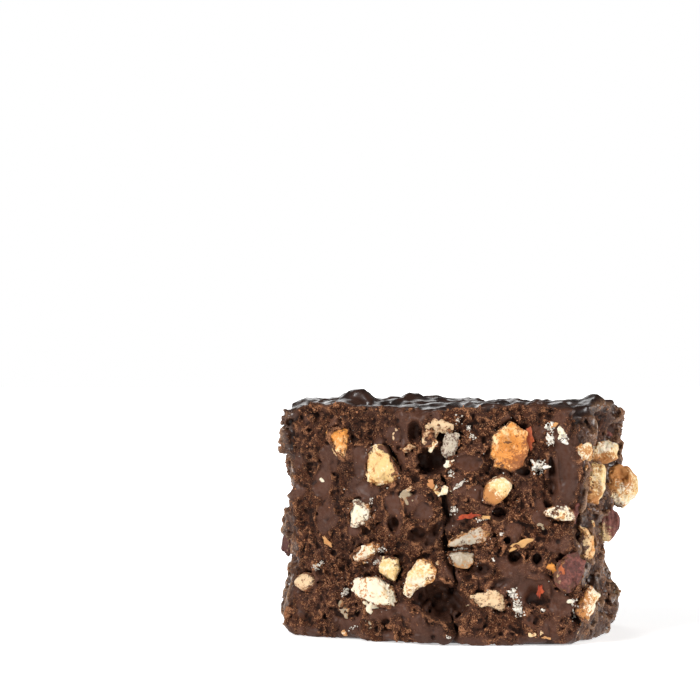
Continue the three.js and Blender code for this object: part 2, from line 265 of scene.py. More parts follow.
def joined(parts):
    """Several (points, faces) as one."""
    points = np.concatenate([p for p, _ in parts])
    starts = np.cumsum([0] + [len(p) for p, _ in parts[:-1]])
    return points, np.concatenate([f + s for (_, f), s in zip(parts, starts)])


def largest_part(points, quads):
    """The largest connected part of a surface."""
    a, b = np.concatenate([quads[:, :2], quads[:, 1:3], quads[:, 2:]]).astype(int).T
    label = np.arange(len(points))
    while not np.array_equal(label[a], label[b]):
        low = np.minimum(label[a], label[b])
        np.minimum.at(label, label[a], low)
        np.minimum.at(label, label[b], low)
        while not np.array_equal(label, label[label]):
            label = label[label]
    kept = label == np.bincount(label).argmax()
    number = np.cumsum(kept) - 1
    return points[kept], number[quads[kept[quads[:, 0]]].astype(int)]


def add_object(name, data):
    made = bpy.data.objects.new(name, data)
    bpy.context.scene.collection.objects.link(made)
    return made


def add_piece(name, points, faces, values, material, slot, *nodes):
    """A smooth-shaded piece from millimetre points with named values. It takes the place of the CAD nodes."""
    mesh = bpy.data.meshes.new(name)
    mesh.vertices.add(len(points))
    mesh.vertices.foreach_set("co", (points * MM).astype(np.float32).ravel())
    mesh.loops.add(faces.size)
    mesh.loops.foreach_set("vertex_index", faces.ravel().astype(np.int32))
    mesh.polygons.add(len(faces))
    mesh.polygons.foreach_set("loop_start", np.arange(0, faces.size, faces.shape[1], dtype=np.int32))
    mesh.update(calc_edges=True)
    mesh.validate()
    mesh.shade_smooth()
    for key, numbers in values.items():
        layer = mesh.attributes.new(key, "FLOAT", "POINT")
        layer.data.foreach_set("value", np.asarray(numbers, np.float32))
    mesh.materials.append(material)
    piece = add_object(name, mesh)
    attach(piece, "root")
    if nodes:
        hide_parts(*nodes)
    return piece


# ---------- materials ----------

def fill_in(tree, made, inputs):
    """Gives a node its inputs: a value or another node's output each."""
    for key, value in inputs.items():
        if isinstance(value, bpy.types.NodeSocket):
            tree.links.new(value, made.inputs[key])
        else:
            made.inputs[key].default_value = value


def node(tree, kind, inputs=None, **settings):
    made = tree.nodes.new(kind)
    for key, value in settings.items():
        setattr(made, key, value)
    fill_in(tree, made, inputs or {})
    return made


def attribute(tree, name):
    return node(tree, "ShaderNodeAttribute", attribute_name=name).outputs["Fac"]


def math_node(tree, operation, a, b=0.0, clamp=False):
    return node(tree, "ShaderNodeMath", {0: a, 1: b}, operation=operation, use_clamp=clamp).outputs[0]


def noise_node(tree, place, wave, detail, roughness, distortion=0.0):
    """Noise round 0.5, with bumps about as large as wave."""
    inputs = {"Vector": place, "Scale": 1 / (wave * MM), "Detail": detail, "Roughness": roughness}
    inputs["Distortion"] = distortion
    return node(tree, "ShaderNodeTexNoise", inputs).outputs["Fac"]


def between(tree, value, low, high):
    """0 below low, 1 above high, smooth between."""
    inputs = {"Value": value, "From Min": low, "From Max": high}
    return node(tree, "ShaderNodeMapRange", inputs, interpolation_type="SMOOTHSTEP").outputs[0]


def mix(tree, share, first, second):
    """Two colours mixed. Each is three numbers or another node's output."""
    made = node(tree, "ShaderNodeMix", {0: share}, data_type="RGBA", clamp_factor=True)
    for socket, colour in ((6, first), (7, second)):
        is_fixed = isinstance(colour, tuple)
        fill_in(tree, made, {socket: (*colour, 1.0) if is_fixed else colour})
    return made.outputs[2]


def tinted(tree, colour, tint, value, low, high, share=1.0):
    """A colour that turns into a tint, up to a share, where a value goes from low to high."""
    return mix(tree, math_node(tree, "MULTIPLY", between(tree, value, low, high), share), colour, tint)


def weighted(tree, *layers):
    """The sum of values, each times its weight."""
    total = 0.0
    for value, weight in layers:
        total = math_node(tree, "ADD", math_node(tree, "MULTIPLY", value, weight), total)
    return total


def ranged(tree, value, low, high):
    """A value from 0 to 1 turned into one from low to high."""
    return node(tree, "ShaderNodeMapRange", {"Value": value, "To Min": low, "To Max": high}).outputs[0]


def new_material(name):
    material = bpy.data.materials.new(name)
    material.use_nodes = True
    tree = material.node_tree
    tree.nodes.clear()
    shader = node(tree, "ShaderNodeBsdfPrincipled")
    node(tree, "ShaderNodeOutputMaterial", {"Surface": shader.outputs[0]})
    place = node(tree, "ShaderNodeTexCoord").outputs["Object"]
    return material, tree, shader, place


def bump(tree, shader, layers):
    """Stacks bumps: (height, distance in mm, strength)."""
    normal = None
    for height, distance, strength in layers:
        inputs = {"Height": height, "Distance": distance * MM, "Strength": strength}
        if normal is not None:
            inputs["Normal"] = normal
        normal = node(tree, "ShaderNodeBump", inputs).outputs[0]
    tree.links.new(normal, shader.inputs["Normal"])


# What the chocolate's surface is like from place to place, and where shade is painted on it.
SKIN_VALUES = ("broken", "smooth", "crisp", "dark_and_painted_shade", "side")

CHOCOLATE_DEEP = (0.010, 0.0040, 0.0026)
CHOCOLATE_MIDDLE = (0.067, 0.0218, 0.0092)
CHOCOLATE_WAXY = (0.079, 0.0325, 0.0200)
CHOCOLATE_CRUMB = (0.390, 0.165, 0.074)
CHOCOLATE_FLECK = (0.560, 0.270, 0.130)
CHOCOLATE_GLOSSY = (0.034, 0.0145, 0.0090)
CHOCOLATE_SIDE = (0.052, 0.0215, 0.0110)
CHOCOLATE_THREAD = (0.270, 0.150, 0.080)


def chocolate_material():
    material, tree, shader, place = new_material("chocolate")
    broken, smooth, crisp, dark_and_painted_shade, side = (attribute(tree, key) for key in SKIN_VALUES)
    shades = noise_node(tree, place, 14.0, 2.0, 0.5)
    patches = noise_node(tree, place, 6.0, 4.0, 0.6)
    zones = noise_node(tree, place, 3.0, 3.0, 0.6)
    grain = noise_node(tree, place, 1.1, 4.0, 0.65)
    specks = noise_node(tree, place, 0.45, 3.0, 0.7)
    dust = noise_node(tree, place, 0.30, 2.0, 0.6)
    rough = math_node(tree, "MULTIPLY", broken, math_node(tree, "SUBTRACT", 1.0, smooth), True)

    # Torn chocolate is paler where it stands out, partly its crumb colour and partly a painted highlight on
    # the peaks, and darker in its pores.
    lift = weighted(tree, (crisp, 0.38), (specks, 1.0), (zones, 0.25), (patches, 0.35), (dust, 0.45))
    torn = mix(tree, between(tree, grain, 0.36, 0.58), CHOCOLATE_DEEP, CHOCOLATE_MIDDLE)
    torn = tinted(tree, torn, CHOCOLATE_WAXY, patches, 0.45, 0.7)
    torn = tinted(tree, torn, CHOCOLATE_CRUMB, lift, 1.16, 1.32, 0.60)
    torn = tinted(tree, torn, CHOCOLATE_FLECK, weighted(tree, (crisp, 0.08), (dust, 1.0)), 0.61, 0.69, 0.6)
    torn = tinted(tree, torn, CHOCOLATE_DEEP, specks, 0.42, 0.34, 0.85)
    waxy = mix(tree, between(tree, grain, 0.35, 0.6), CHOCOLATE_MIDDLE, CHOCOLATE_WAXY)
    natural = mix(tree, between(tree, patches, 0.35, 0.65), CHOCOLATE_GLOSSY, CHOCOLATE_DEEP)
    # Paler threads on the ridges of the natural sides: partly thread colour, partly painted highlight.
    streaky = mix(tree, between(tree, lift, 1.02, 1.26), CHOCOLATE_SIDE, CHOCOLATE_THREAD)
    colour = mix(tree, broken, mix(tree, side, natural, streaky), mix(tree, rough, waxy, torn))
    colour = tinted(tree, colour, CHOCOLATE_DEEP, shades, 0.50, 0.34, 0.35)
    # Painted shade: the colour turns deep in creases, hollows, the crack and the block's recesses, and darker
    # on the foot and the drop's streak.
    dark_and_painted_shade_share = math_node(tree, "MAXIMUM", dark_and_painted_shade, between(tree, crisp, -0.08, -0.42))
    colour = mix(tree, math_node(tree, "MULTIPLY", dark_and_painted_shade_share, 0.8), colour, CHOCOLATE_DEEP)

    gloss = weighted(tree, (ranged(tree, zones, 0.25, 0.55), 1.0), (side, 0.2))
    dull = ranged(tree, rough, 0.50, 0.85)
    natural_share = math_node(tree, "SUBTRACT", 1.0, broken, True)
    waxy_share = math_node(tree, "SUBTRACT", 1.0, rough)
    roughness = node(tree, "ShaderNodeMix", {0: broken, 2: gloss, 3: dull}, data_type="FLOAT").outputs[0]
    fill_in(tree, shader, {
        "Base Color": colour,
        "Roughness": roughness,
        "Specular IOR Level": 0.14,
        "Coat Weight": weighted(tree, (natural_share, 0.6), (waxy_share, 0.10)),
        "Coat Roughness": 0.24,
    })
    bump(tree, shader, [(grain, 0.45, rough), (specks, 0.35, rough), (dust, 0.16, 0.7)])
    return material


NUT_COLOURS = {  # the face where it is pale, the face where it is deep, the toasted edge
    "cream": ((0.80, 0.70, 0.53), (0.72, 0.48, 0.20), (0.46, 0.19, 0.050)),
    "golden": ((0.80, 0.57, 0.31), (0.64, 0.25, 0.045), (0.28, 0.09, 0.022)),
    "tan": ((0.66, 0.47, 0.28), (0.46, 0.26, 0.11), (0.26, 0.10, 0.035)),
    "grey": ((0.46, 0.39, 0.30), (0.32, 0.24, 0.15), (0.44, 0.20, 0.065)),
    "skin": ((0.20, 0.060, 0.042), (0.075, 0.020, 0.016), (0.64, 0.44, 0.22)),
}
SMEAR = (0.085, 0.032, 0.016)


def varied(tree, value, *layers):
    """A value plus noises round 0, each with its strength."""
    for layer, strength in layers:
        swing = math_node(tree, "MULTIPLY", math_node(tree, "SUBTRACT", layer, 0.5), strength)
        value = math_node(tree, "ADD", value, swing)
    return value


def nut_material(shade):
    """Its look follows the values depth, toast and smear at the points of a nut."""
    pale, deep, toasted = NUT_COLOURS[shade]
    material, tree, shader, place = new_material(f"hazelnut_{shade}")
    mottle = noise_node(tree, place, 3.0, 6.0, 0.68, 0.5)
    fine = noise_node(tree, place, 1.1, 4.0, 0.7)
    specks = noise_node(tree, place, 0.5, 3.0, 0.65)
    streaks = node(tree, "ShaderNodeMapping", {"Vector": place, "Scale": (1.0, 1.0, 0.22)}).outputs[0]
    fibres = noise_node(tree, streaks, 0.6, 3.0, 0.6)
    depth = varied(tree, attribute(tree, "depth"), (mottle, 2.4), (fine, 1.6), (specks, 1.2), (fibres, 0.8))
    colour = mix(tree, between(tree, depth, -0.35, 0.40), pale, deep)
    toast = varied(tree, attribute(tree, "toast"), (mottle, 1.0), (fine, 1.5), (specks, 1.1))
    colour = mix(tree, between(tree, toast, 0.16, 0.46), colour, toasted)
    dirt = varied(tree, attribute(tree, "smear"), (fine, 1.4), (specks, 1.2))
    fill_in(tree, shader, {
        "Base Color": tinted(tree, colour, SMEAR, dirt, 0.30, 0.48, 0.85),
        "Roughness": ranged(tree, fine, 0.42, 0.72),
        "Specular IOR Level": 0.35,
        "Subsurface Weight": 0.15,
        "Subsurface Radius": (1.0, 0.6, 0.3),
        "Subsurface Scale": 1.0 * MM,
    })
    bump(tree, shader, [(fine, 0.45, 0.9), (fibres, 0.20, 0.7), (specks, 0.20, 0.8)])
    return material


def powder_material():
    """White dust and crumbs of nut."""
    material, tree, shader, place = new_material("nut_powder")
    tone = noise_node(tree, place, 0.9, 3.0, 0.6)
    colour = mix(tree, between(tree, tone, 0.35, 0.65), (0.46, 0.40, 0.32), (0.80, 0.76, 0.68))
    fill_in(tree, shader, {"Base Color": colour, "Roughness": 0.8})
    bump(tree, shader, [(tone, 0.1, 0.5)])
    return material


def flake_material():
    """Thin red-brown skin of the nuts."""
    material, tree, shader, place = new_material("nut_skin_flake")
    tone = noise_node(tree, place, 1.1, 3.0, 0.6)
    red = mix(tree, between(tree, tone, 0.35, 0.65), (0.24, 0.028, 0.010), (0.38, 0.060, 0.016))
    colour = mix(tree, attribute(tree, "gold"), red, (0.55, 0.30, 0.11))
    fill_in(tree, shader, {"Base Color": colour, "Roughness": 0.45, "Specular IOR Level": 0.25})
    bump(tree, shader, [(tone, 0.1, 0.5)])
    return material


def crumb_material():
    """Loose crumbs of chocolate."""
    material, tree, shader, place = new_material("chocolate_crumbs")
    grain = noise_node(tree, place, 0.5, 2.0, 0.6)
    tone = weighted(tree, (attribute(tree, "tone"), 1.0), (grain, 0.3))
    colour = mix(tree, between(tree, tone, 0.2, 1.0), CHOCOLATE_MIDDLE, CHOCOLATE_CRUMB)
    fill_in(tree, shader, {"Base Color": colour, "Roughness": 0.75, "Specular IOR Level": 0.25})
    return material


FLOOR_FADE = (0.05, 0.4)  # metres from the middle of the block, between which the glow below rises
FLOOR_GLOW = (0.50, 0.85)


def floor_material():
    """White, and brighter far from the block, where it meets the white behind."""
    material, tree, shader, place = new_material("floor")
    away = node(tree, "ShaderNodeVectorMath", {0: place}, operation="LENGTH").outputs["Value"]
    glow = {"Value": away, **dict(zip(("From Min", "From Max", "To Min", "To Max"), FLOOR_FADE + FLOOR_GLOW))}
    fill_in(tree, shader, {
        "Base Color": (0.9, 0.9, 0.9, 1),
        "Roughness": 0.6,
        "Emission Color": (1, 1, 1, 1),
        "Emission Strength": node(tree, "ShaderNodeMapRange", glow).outputs[0],
    })
    return material


# ---------- the chocolate ----------

BLOCK = "toffee_block"
NUT_NODES = sorted(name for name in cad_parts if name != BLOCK)

# Places where the broken front is smooth: x, height, width, height.
SMOOTH_SPOTS = [
    (27.4, 48.6, 6, 19), (19.3, 12, 7, 14), (-21.9, 3.9, 4, 6), (-20.5, 37.5, 5, 12), (-27, 43, 6, 5),
    (-29.5, 51, 5, 8), (-32, 31.5, 4, 4), (-7.2, 13, 12, 9), (0.5, 52, 6, 5), (-20.2, 59, 4, 4),
    (13, 48.5, 6, 5), (21, 36, 7, 4), (-40, 44, 6, 9), (2.5, 43, 5, 4), (-12, 38, 5, 5),
]

# Raised edges round those places: how high, at what share of a place's half size, how wide as such a share.
RIM_HEIGHT = 0.5
RIM_PLACE = 1.12
RIM_WIDTH = 0.13

FOOT = 2.4                # how high the smooth foot is
UNDERCUT = 1.2            # up to what height the foot draws in
SMOOTH_EDGE = (66, 68.5)  # heights over which the front turns smoother towards the top
CLUMP = 5.2               # sizes of what the torn chocolate is made of
LUMP = 2.3
GRIT = 1.25

# A drop of chocolate that ran down the front, near its right edge.
COLUMN_X = 27.6
COLUMN_HEIGHTS = (42.5, 56.0)
COLUMN_RADIUS = 2.8
COLUMN_SUNK = 1.1    # how far behind the front its middle lies
COLUMN_FILLET = 1.8

# The crack down the front: height, x, width.
CRACK = [
    (-1, -3.4, 2.2), (9, -3.6, 1.7), (18, -2.4, 2.2), (24, -4.2, 1.6),
    (30, -5.4, 2.2), (36, -4.6, 1.5), (41, -5.6, 1.3), (46, -6.4, 0.8), (49, -6.6, 0.0),
]
CRACK_DEPTH = 5.5
CRACK_FILLET = 0.8

BLOCK_REACH = 4.5    # how far out and in the distances to the CAD block are worked out
BLOCK_MELT = 0.75    # how far its facets are softened
NUT_REACH = 3.0      # the same as BLOCK_REACH, for the nuts

# Hollows whose walls are smooth and carry painted shade: x, height, width, height, depth, turn in degrees.
HOLLOWS = [
    (-6.9, 12.5, 15, 9.5, 8.5, -14), (-9.5, 51.6, 8.2, 7.4, 8, 20), (9.2, 37.2, 3.9, 3.0, 4, 0),
    (13.8, 25, 3.2, 3.4, 3.5, 0), (19.9, 24.3, 2.6, 2.8, 3.5, 0), (-20.6, 33.9, 2.6, 4.2, 4, 0),
    (-13.5, 30.8, 4.6, 3.4, 4, 10), (-9.2, 31.2, 2.4, 7.0, 4, -35), (-14.3, 59.8, 2.6, 4.8, 4, 0),
    (-7.2, 59.6, 3.6, 3.6, 5, 0), (-21.5, 16.5, 2.5, 2.0, 2.5, 0), (11.4, 29.6, 2.0, 1.8, 2.5, 0),
    (4.5, 21.5, 4.5, 3.2, 2.6, 20), (30.2, 24.5, 1.8, 3.4, 3, 0), (25, 21.5, 1.8, 1.8, 2.5, 0),
    (24.1, 47.5, 1.7, 9.5, 3, 4), (15.7, 49.2, 2.2, 4.0, 2.5, 60), (-28.0, 21.6, 2.0, 1.6, 2.5, 0),
    (9.6, 17.6, 4.4, 1.6, 2.5, 25),
]

# Outlines of broken nuts as the camera sees them: corners picked on a crop of the photo, enlarged four times,
# in pixels to the right and down. Below they turn into x and height in the plane y = FRONT_Y.
OUTLINE_CORNERS = {
    1: [(275, 225), (340, 222), (352, 270), (345, 348), (325, 345), (300, 300), (275, 265)],
    2: [(405, 325), (445, 298), (498, 335), (540, 410), (528, 442), (452, 458), (415, 428)],
    3: [(335, 575), (370, 530), (400, 508), (425, 535), (438, 600), (350, 605)],
    5: [(925, 290), (960, 220), (1000, 190), (1045, 225), (1068, 290), (1050, 365), (1000, 388),
        (925, 378), (945, 330)],
    9: [(355, 735), (430, 688), (465, 692), (460, 715), (425, 755), (360, 762)],
    10: [(460, 775), (500, 751), (540, 748), (548, 790), (520, 848), (495, 830)],
    11: [(345, 870), (385, 835), (430, 825), (480, 831), (520, 870), (545, 920), (525, 942), (480, 930),
        (430, 910), (370, 900)],
    12: [(565, 870), (590, 800), (640, 750), (680, 755), (692, 790), (665, 840), (620, 860),
        (585, 905)],
    13: [(750, 695), (800, 640), (860, 620), (925, 650), (900, 680), (820, 692)],
    14: [(748, 725), (800, 712), (860, 718), (850, 765), (815, 783), (765, 770)],
    15: [(820, 940), (910, 872), (945, 885), (990, 945), (960, 955), (900, 942)],
    16: [(1270, 290), (1340, 280), (1400, 262), (1440, 290), (1450, 320), (1400, 345), (1330, 350),
        (1295, 335)],
    17: [(1330, 370), (1380, 365), (1380, 470), (1330, 472), (1320, 515), (1285, 490), (1300, 430)],
    18: [(1385, 480), (1400, 380), (1440, 362), (1475, 382), (1520, 450), (1515, 475), (1430, 525)],
    20: [(1280, 620), (1320, 640), (1348, 680), (1345, 720), (1320, 752), (1295, 735), (1322, 700),
        (1310, 660)],
    21: [(1235, 742), (1270, 730), (1300, 760), (1298, 800), (1260, 880), (1245, 860), (1255, 802)],
    22: [(1275, 940), (1310, 870), (1352, 842), (1345, 900), (1320, 960), (1300, 990), (1270, 962)],
}
PIXELS_A_MM = 14.54     # of that crop, in that plane
CROP_LEFT = -56.3       # x of its left edge
CROP_TOP = 76.0         # height of its top edge
OUTLINES = {
    number: [(round(right / PIXELS_A_MM + CROP_LEFT, 1), round(CROP_TOP - down / PIXELS_A_MM, 1))
             for right, down in corners]
    for number, corners in OUTLINE_CORNERS.items()
}

COVER = 2.2             # how far out the chocolate covers a nut outside its outline
BARE = 0.25             # how far out it covers it inside
SHARD_FRONT = 0.5       # how far behind the foremost point of its nut a shard's face lies
SHARD_DEPTH = 4.5
SHARD_ROUND = 0.9       # radius of its edges
SHARD_MARGIN = 3.0      # how far a shard may reach beyond its CAD nut


def outline_distance(x, z, corners):
    """Distance to an outline in a plane, below 0 inside it."""
    nearest, inside = np.inf, False
    for (ax, az), (bx, bz) in zip(corners, corners[1:] + corners[:1]):
        along_x, along_z = bx - ax, bz - az
        share = ((x - ax) * along_x + (z - az) * along_z) / math.hypot(along_x, along_z) ** 2
        share = np.clip(share, 0, 1)
        nearest = np.minimum(nearest, np.hypot(x - ax - share * along_x, z - az - share * along_z))
        if az != bz:
            inside = inside ^ (((az > z) != (bz > z)) & (x < along_x * (z - az) / along_z + ax))
    return np.where(inside, -nearest, nearest)


def shard_fields(x, y, z, number, nut_points):
    """Distance to the outline of a broken nut, seen from the camera, and to the shard inside it."""
    eye = here(*CAMERA_PLACE)
    nearer = (FRONT_Y - CAMERA_PLACE[1]) / (y - eye[1])
    seen_x = CAMERA_PLACE[0] + (x - eye[0]) * nearer
    seen_z = CAMERA_PLACE[2] + (z - eye[2]) * nearer
    outline = outline_distance(seen_x, seen_z, OUTLINES[number]) / nearer
    front = nut_points[:, 1].min() + SHARD_FRONT
    behind = np.maximum(front - y, y - front - SHARD_DEPTH)
    rounded = np.hypot(np.maximum(outline + SHARD_ROUND, 0), np.maximum(behind + SHARD_ROUND, 0))
    return outline, highest(rounded - SHARD_ROUND, outline, behind)


def hollow_field(grid, place, size, turn):
    """A window and the field of an oval hollow dug into the front."""
    window = grid.window(place, max(size) + 1.5)
    x, y, z = grid.offsets(window, place)
    c, s = turned(turn)
    u, v, w = (x * c + z * s) / (size[0] / 2), (z * c - x * s) / (size[1] / 2), y / size[2]
    return window, (((u * u + v * v) ** 2 + w ** 4) ** 0.25 - 1) * min(size[0], size[1]) / 2


def melted_block(low, high):
    """Distance to the block with its corners melted away, on a coarse grid over a box."""
    coarse = Grid(low, high, COARSE_STEP)
    return blur(level_set(*read_mesh(BLOCK), coarse, COARSE_REACH), MELT, COARSE_STEP), coarse


def smooth_places(grid, cavity):
    """How smooth the broken faces are, from 0 to 1, the smooth foot, and the raised rims of smooth spots."""
    x, y, z = grid.axes()
    patches = smoothstep(0.75, 1.25, noise(grid, 6.0, SEED))
    spots = np.zeros(grid.shape, np.float32)
    rims = np.zeros(grid.shape, np.float32)
    warp = 0.5 * noise(grid, 5.0, SEED + 21)
    for sx, sz, width, height in SMOOTH_SPOTS:
        centre = here(sx, front_line(sx), sz)
        apart = ((x - centre[0]) / (width / 2)) ** 2 + ((z - centre[2]) / (height / 2)) ** 2
        apart = np.clip(apart + warp, 0, None)
        shallow = smoothstep(10, 6, np.abs(y - centre[1]))
        spots = np.maximum(spots, smoothstep(1.2, 0.6, apart) * shallow)
        rim = RIM_HEIGHT * np.exp(-((np.sqrt(apart) - RIM_PLACE) / RIM_WIDTH) ** 2)
        rims = np.maximum(rims, rim * shallow)
    foot = smoothstep(FOOT + 1.0, FOOT - 0.6, z) * smoothstep(-0.8, 0.6, noise(grid, 6.0, SEED + 19))
    edge = smoothstep(*SMOOTH_EDGE, z)
    smooth = np.clip(highest(0.8 * patches, 0.5 * cavity, spots, foot, 0.2 * edge), 0, 1)
    return smooth, foot, rims


def relief(grid, field, smooth, rims, broken, base, side):
    """How far the surface stands out, and where the natural sides are pitted."""
    clumps = cells(grid, field, CLUMP, SEED + 1)
    lumps = cells(grid, field, LUMP, SEED + 2)
    grit = cells(grid, field, GRIT, SEED + 15)
    crevices = smoothstep(0.62, 0.92, clumps) + 0.4 * smoothstep(0.66, 0.95, lumps)
    waves = 0.45 * noise(grid, 11.0, SEED + 17)
    rough = (waves + 1.4 * (0.5 - clumps) + 0.6 * (0.5 - lumps) + 0.8 * (0.5 - grit) - 0.7 * crevices
             + 0.26 * noise(grid, 1.5, SEED + 3) + 0.20 * noise(grid, 0.9, SEED + 4))
    soft = waves + 1.0 * (0.45 - clumps) - 0.3 * crevices + 0.14 * noise(grid, 3.0, SEED + 5)
    torn = rough * (1 - smooth) + soft * smooth + rims
    folds = 0.7 - np.abs(noise(grid, 9.0, SEED + 8, (1, 1, 0.6)))
    ridges = 0.7 - np.abs(noise(grid, 3.6, SEED + 18, (1, 1, 1.8)))
    wavy = 0.45 * noise(grid, 7.0, SEED + 6) + 0.22 * noise(grid, 3.2, SEED + 7) + 0.7 * folds
    pitted = smoothstep(-0.5, 0.5, noise(grid, 8.0, SEED + 11)) * side
    wavy = (wavy + 0.5 * side * ridges) * (1 - base) + 0.7 * pitted * rough
    return broken * torn + (1 - broken) * wavy, pitted


def column_field(grid):
    """The drop of chocolate that ran down the front."""
    x, y, z = grid.axes()
    low = here(COLUMN_X, FRONT_Y, COLUMN_HEIGHTS[0])
    high = here(COLUMN_X, FRONT_Y, COLUMN_HEIGHTS[1])
    beyond = z - np.clip(z, low[2], high[2])
    bend = low[0] + 0.8 * np.sin((z - low[2]) / 5)
    narrow = 0.035 * (z - low[2])
    column = np.sqrt((x - bend) ** 2 + (y - low[1] - COLUMN_SUNK) ** 2 + beyond ** 2) - COLUMN_RADIUS
    return column + narrow - 0.22 * noise(grid, 3.0, SEED + 16)


def dig_hollows(grid, field):
    """Digs the hollows into the field. Gives where their walls are."""
    dug = np.zeros(grid.shape, np.float32)
    wrinkles = noise(grid, 2.6, SEED + 12)
    for hx, hz, width, height, deep, turn in HOLLOWS:
        place = here(hx, front_line(hx) - 0.5, hz)
        window, hollow = hollow_field(grid, place, (width, height, deep), turn)
        uneven = hollow + (0.1 + 0.03 * min(width, height)) * wrinkles[window]
        lip = 0.5 * np.exp(-((hollow - 0.8) / 0.45) ** 2)
        field[window] = -smooth_min(lip - field[window], uneven, 0.35)
        dug[window] = np.maximum(dug[window], smoothstep(0.8, 0.0, hollow))
    return dug


def crack_field(grid):
    """Distance to the crack, which tapers inwards."""
    x, y, z = grid.axes()
    heights, places, widths = zip(*CRACK)
    middle = np.interp(z.ravel(), heights, places)[None, None, :] - MIDDLE[0]
    half_width = np.interp(z.ravel(), heights, widths)[None, None, :] / 2
    half_width = half_width * np.clip(0.9 + 0.5 * noise(grid, 4.0, SEED + 22), 0.25, 1.6)
    behind = y - (FRONT_Y - MIDDLE[1])
    wobble = 0.55 * noise(grid, 4.5, SEED + 13)
    crack = np.abs(x - middle + wobble) - half_width * (1 - 0.11 * behind)
    return np.where(z > heights[-1], 5.0, np.maximum(crack, behind - CRACK_DEPTH))


def outline_nuts(grid, kernels, creep):
    """Adds the shards to the nuts, and lets the chocolate cover these nuts outside their outlines."""
    outlined = []
    for number in OUTLINES:
        nut_points = read_mesh(f"hazelnut_{number:02d}")[0]
        half = np.ptp(nut_points, axis=0).max() / 2 + SHARD_MARGIN
        window = grid.window((nut_points.min(0) + nut_points.max(0)) / 2, half)
        outline, shard = shard_fields(*grid.offsets(window), number, nut_points)
        own = kernels[window] < 1.0
        kernels[window] = np.minimum(kernels[window], shard)
        covered = np.maximum(creep[window], COVER * smoothstep(-0.1, 0.5, outline))
        creep[window] = np.where(own, covered, creep[window])
        outlined.append((window, outline))
    for window, outline in outlined:
        creep[window] = np.where(outline < 0, np.minimum(creep[window], BARE), creep[window])


def close_round_nuts(grid, field):
    """The chocolate grips the nuts and creeps a little way over them. Gives the nuts' own field too."""
    kernels = level_set(*joined([read_mesh(name) for name in NUT_NODES]), grid, NUT_REACH)
    creep = 0.55 + 0.40 * noise(grid, 3.0, SEED + 9)
    outline_nuts(grid, kernels, creep)
    collar = np.maximum(kernels - 0.18 - 0.12 * noise(grid, 1.4, SEED + 10), field - creep)
    field = smooth_min(field, np.maximum(kernels + 0.3, field - 2.0), 1.2)
    field = smooth_min(field, collar, 0.4)
    bare = np.minimum(-(kernels + 0.35), NUT_REACH)
    return np.maximum(field, bare - 100.0 * (collar < 0)), kernels


def chocolate_fields(grid):
    """The chocolate's field, and what its surface is like from place to place."""
    melted, coarse = melted_block(grid.first * grid.step, (grid.first + grid.shape) * grid.step)
    slope = np.gradient(melted)
    length = np.sqrt(sum(part ** 2 for part in slope)) + 1e-6
    facing = [refine(part / length, coarse, grid) for part in slope]
    broken = smoothstep(0.42, 0.66, np.abs(facing[1]))
    base = smoothstep(0.5, 0.8, -facing[2])
    top = smoothstep(0.4, 0.7, facing[2])
    side = (1 - broken) * (1 - top) * (1 - base)
    cavity = smoothstep(-0.8, -3.0, refine(melted, coarse, grid))

    field = blur(level_set(*read_mesh(BLOCK), grid, BLOCK_REACH), BLOCK_MELT, grid.step)
    smooth, foot, rims = smooth_places(grid, cavity)
    height, pitted = relief(grid, field, smooth, rims, broken, base, side)
    field = field - height * (1 - 0.4 * cavity)
    column = column_field(grid)
    field = smooth_min(field, column, COLUMN_FILLET)
    streak = smoothstep(0.9, 0.2, column)
    dug = dig_hollows(grid, field)
    crack = crack_field(grid)
    field = -smooth_min(-field, crack, CRACK_FILLET)
    field, kernels = close_round_nuts(grid, field)

    z = grid.axes()[2]
    plan = field[:, :, int(FOOT / grid.step) - grid.first[2]][:, :, None]
    field = np.where(z < UNDERCUT, np.maximum(field, plan + 0.8 * (UNDERCUT - z)), field)
    field = np.maximum(field, -z)
    depth = np.maximum(smoothstep(0.8, 0.0, crack), dug)
    kinds = {
        "broken": np.maximum(broken, 0.6 * pitted),
        "smooth": highest(smooth, 0.75 * streak, 0.8 * dug),
        # Painted shade in the crack, the hollows and the block's recesses; the foot and the drop's streak are
        # darker too.
        "dark_and_painted_shade": highest(0.5 * depth, 0.35 * cavity, 0.4 * foot, 0.3 * streak),
        "side": side,
    }
    return field, kinds, kernels, facing


def pierce(grid, field, where, rng, count, radii):
    """Small bubbles in the faces where it is asked for."""
    index = np.argwhere((np.abs(field) < grid.step) & where)
    chosen = index[rng.choice(len(index), count, replace=False)]
    for place in chosen:
        radius = radii[0] + (radii[1] - radii[0]) * rng.random() ** 2
        centre = (place + grid.first) * grid.step
        window = grid.window(centre, radius + 1.0)
        x, y, z = grid.offsets(window, centre)
        ball = np.sqrt(x * x + y * y + z * z) - radius
        field[window] = -smooth_min(-field[window], ball, 0.25)


# The bake's map, in millimetres: six views side by side. Each has the axis and the side that it looks at, and
# its place in the map.
SHEET = 222.0
VIEW_MARGIN = 1.0
VIEWS = {
    (1, -1): (0, 0), (1, 1): (111, 0), (2, 1): (0, 74),
    (2, -1): (111, 74), (0, -1): (0, 143), (0, 1): (68, 143),
}


def lay_out(mesh, points, facing):
    """Gives the chocolate a map of its own, on which its six sides lie apart."""
    starts = read_values(mesh.polygons, "loop_start", np.int32)
    totals = read_values(mesh.polygons, "loop_total", np.int32)
    corners = read_values(mesh.loops, "vertex_index", np.int32)
    direction = facing[corners[starts]]
    axis = np.abs(direction).argmax(1)
    side = np.sign(direction[np.arange(len(starts)), axis])
    places = np.zeros((len(corners), 2), np.float32)
    low = points.min(0)
    for (looks_along, sign), offset in VIEWS.items():
        chosen = np.repeat((axis == looks_along) & (side == sign), totals)
        kept = [k for k in range(3) if k != looks_along]
        places[chosen] = (points[corners[chosen]] - low)[:, kept] + np.array(offset) + VIEW_MARGIN
    mesh.uv_layers.new(name="OFBake").data.foreach_set("uv", (places / SHEET).ravel())


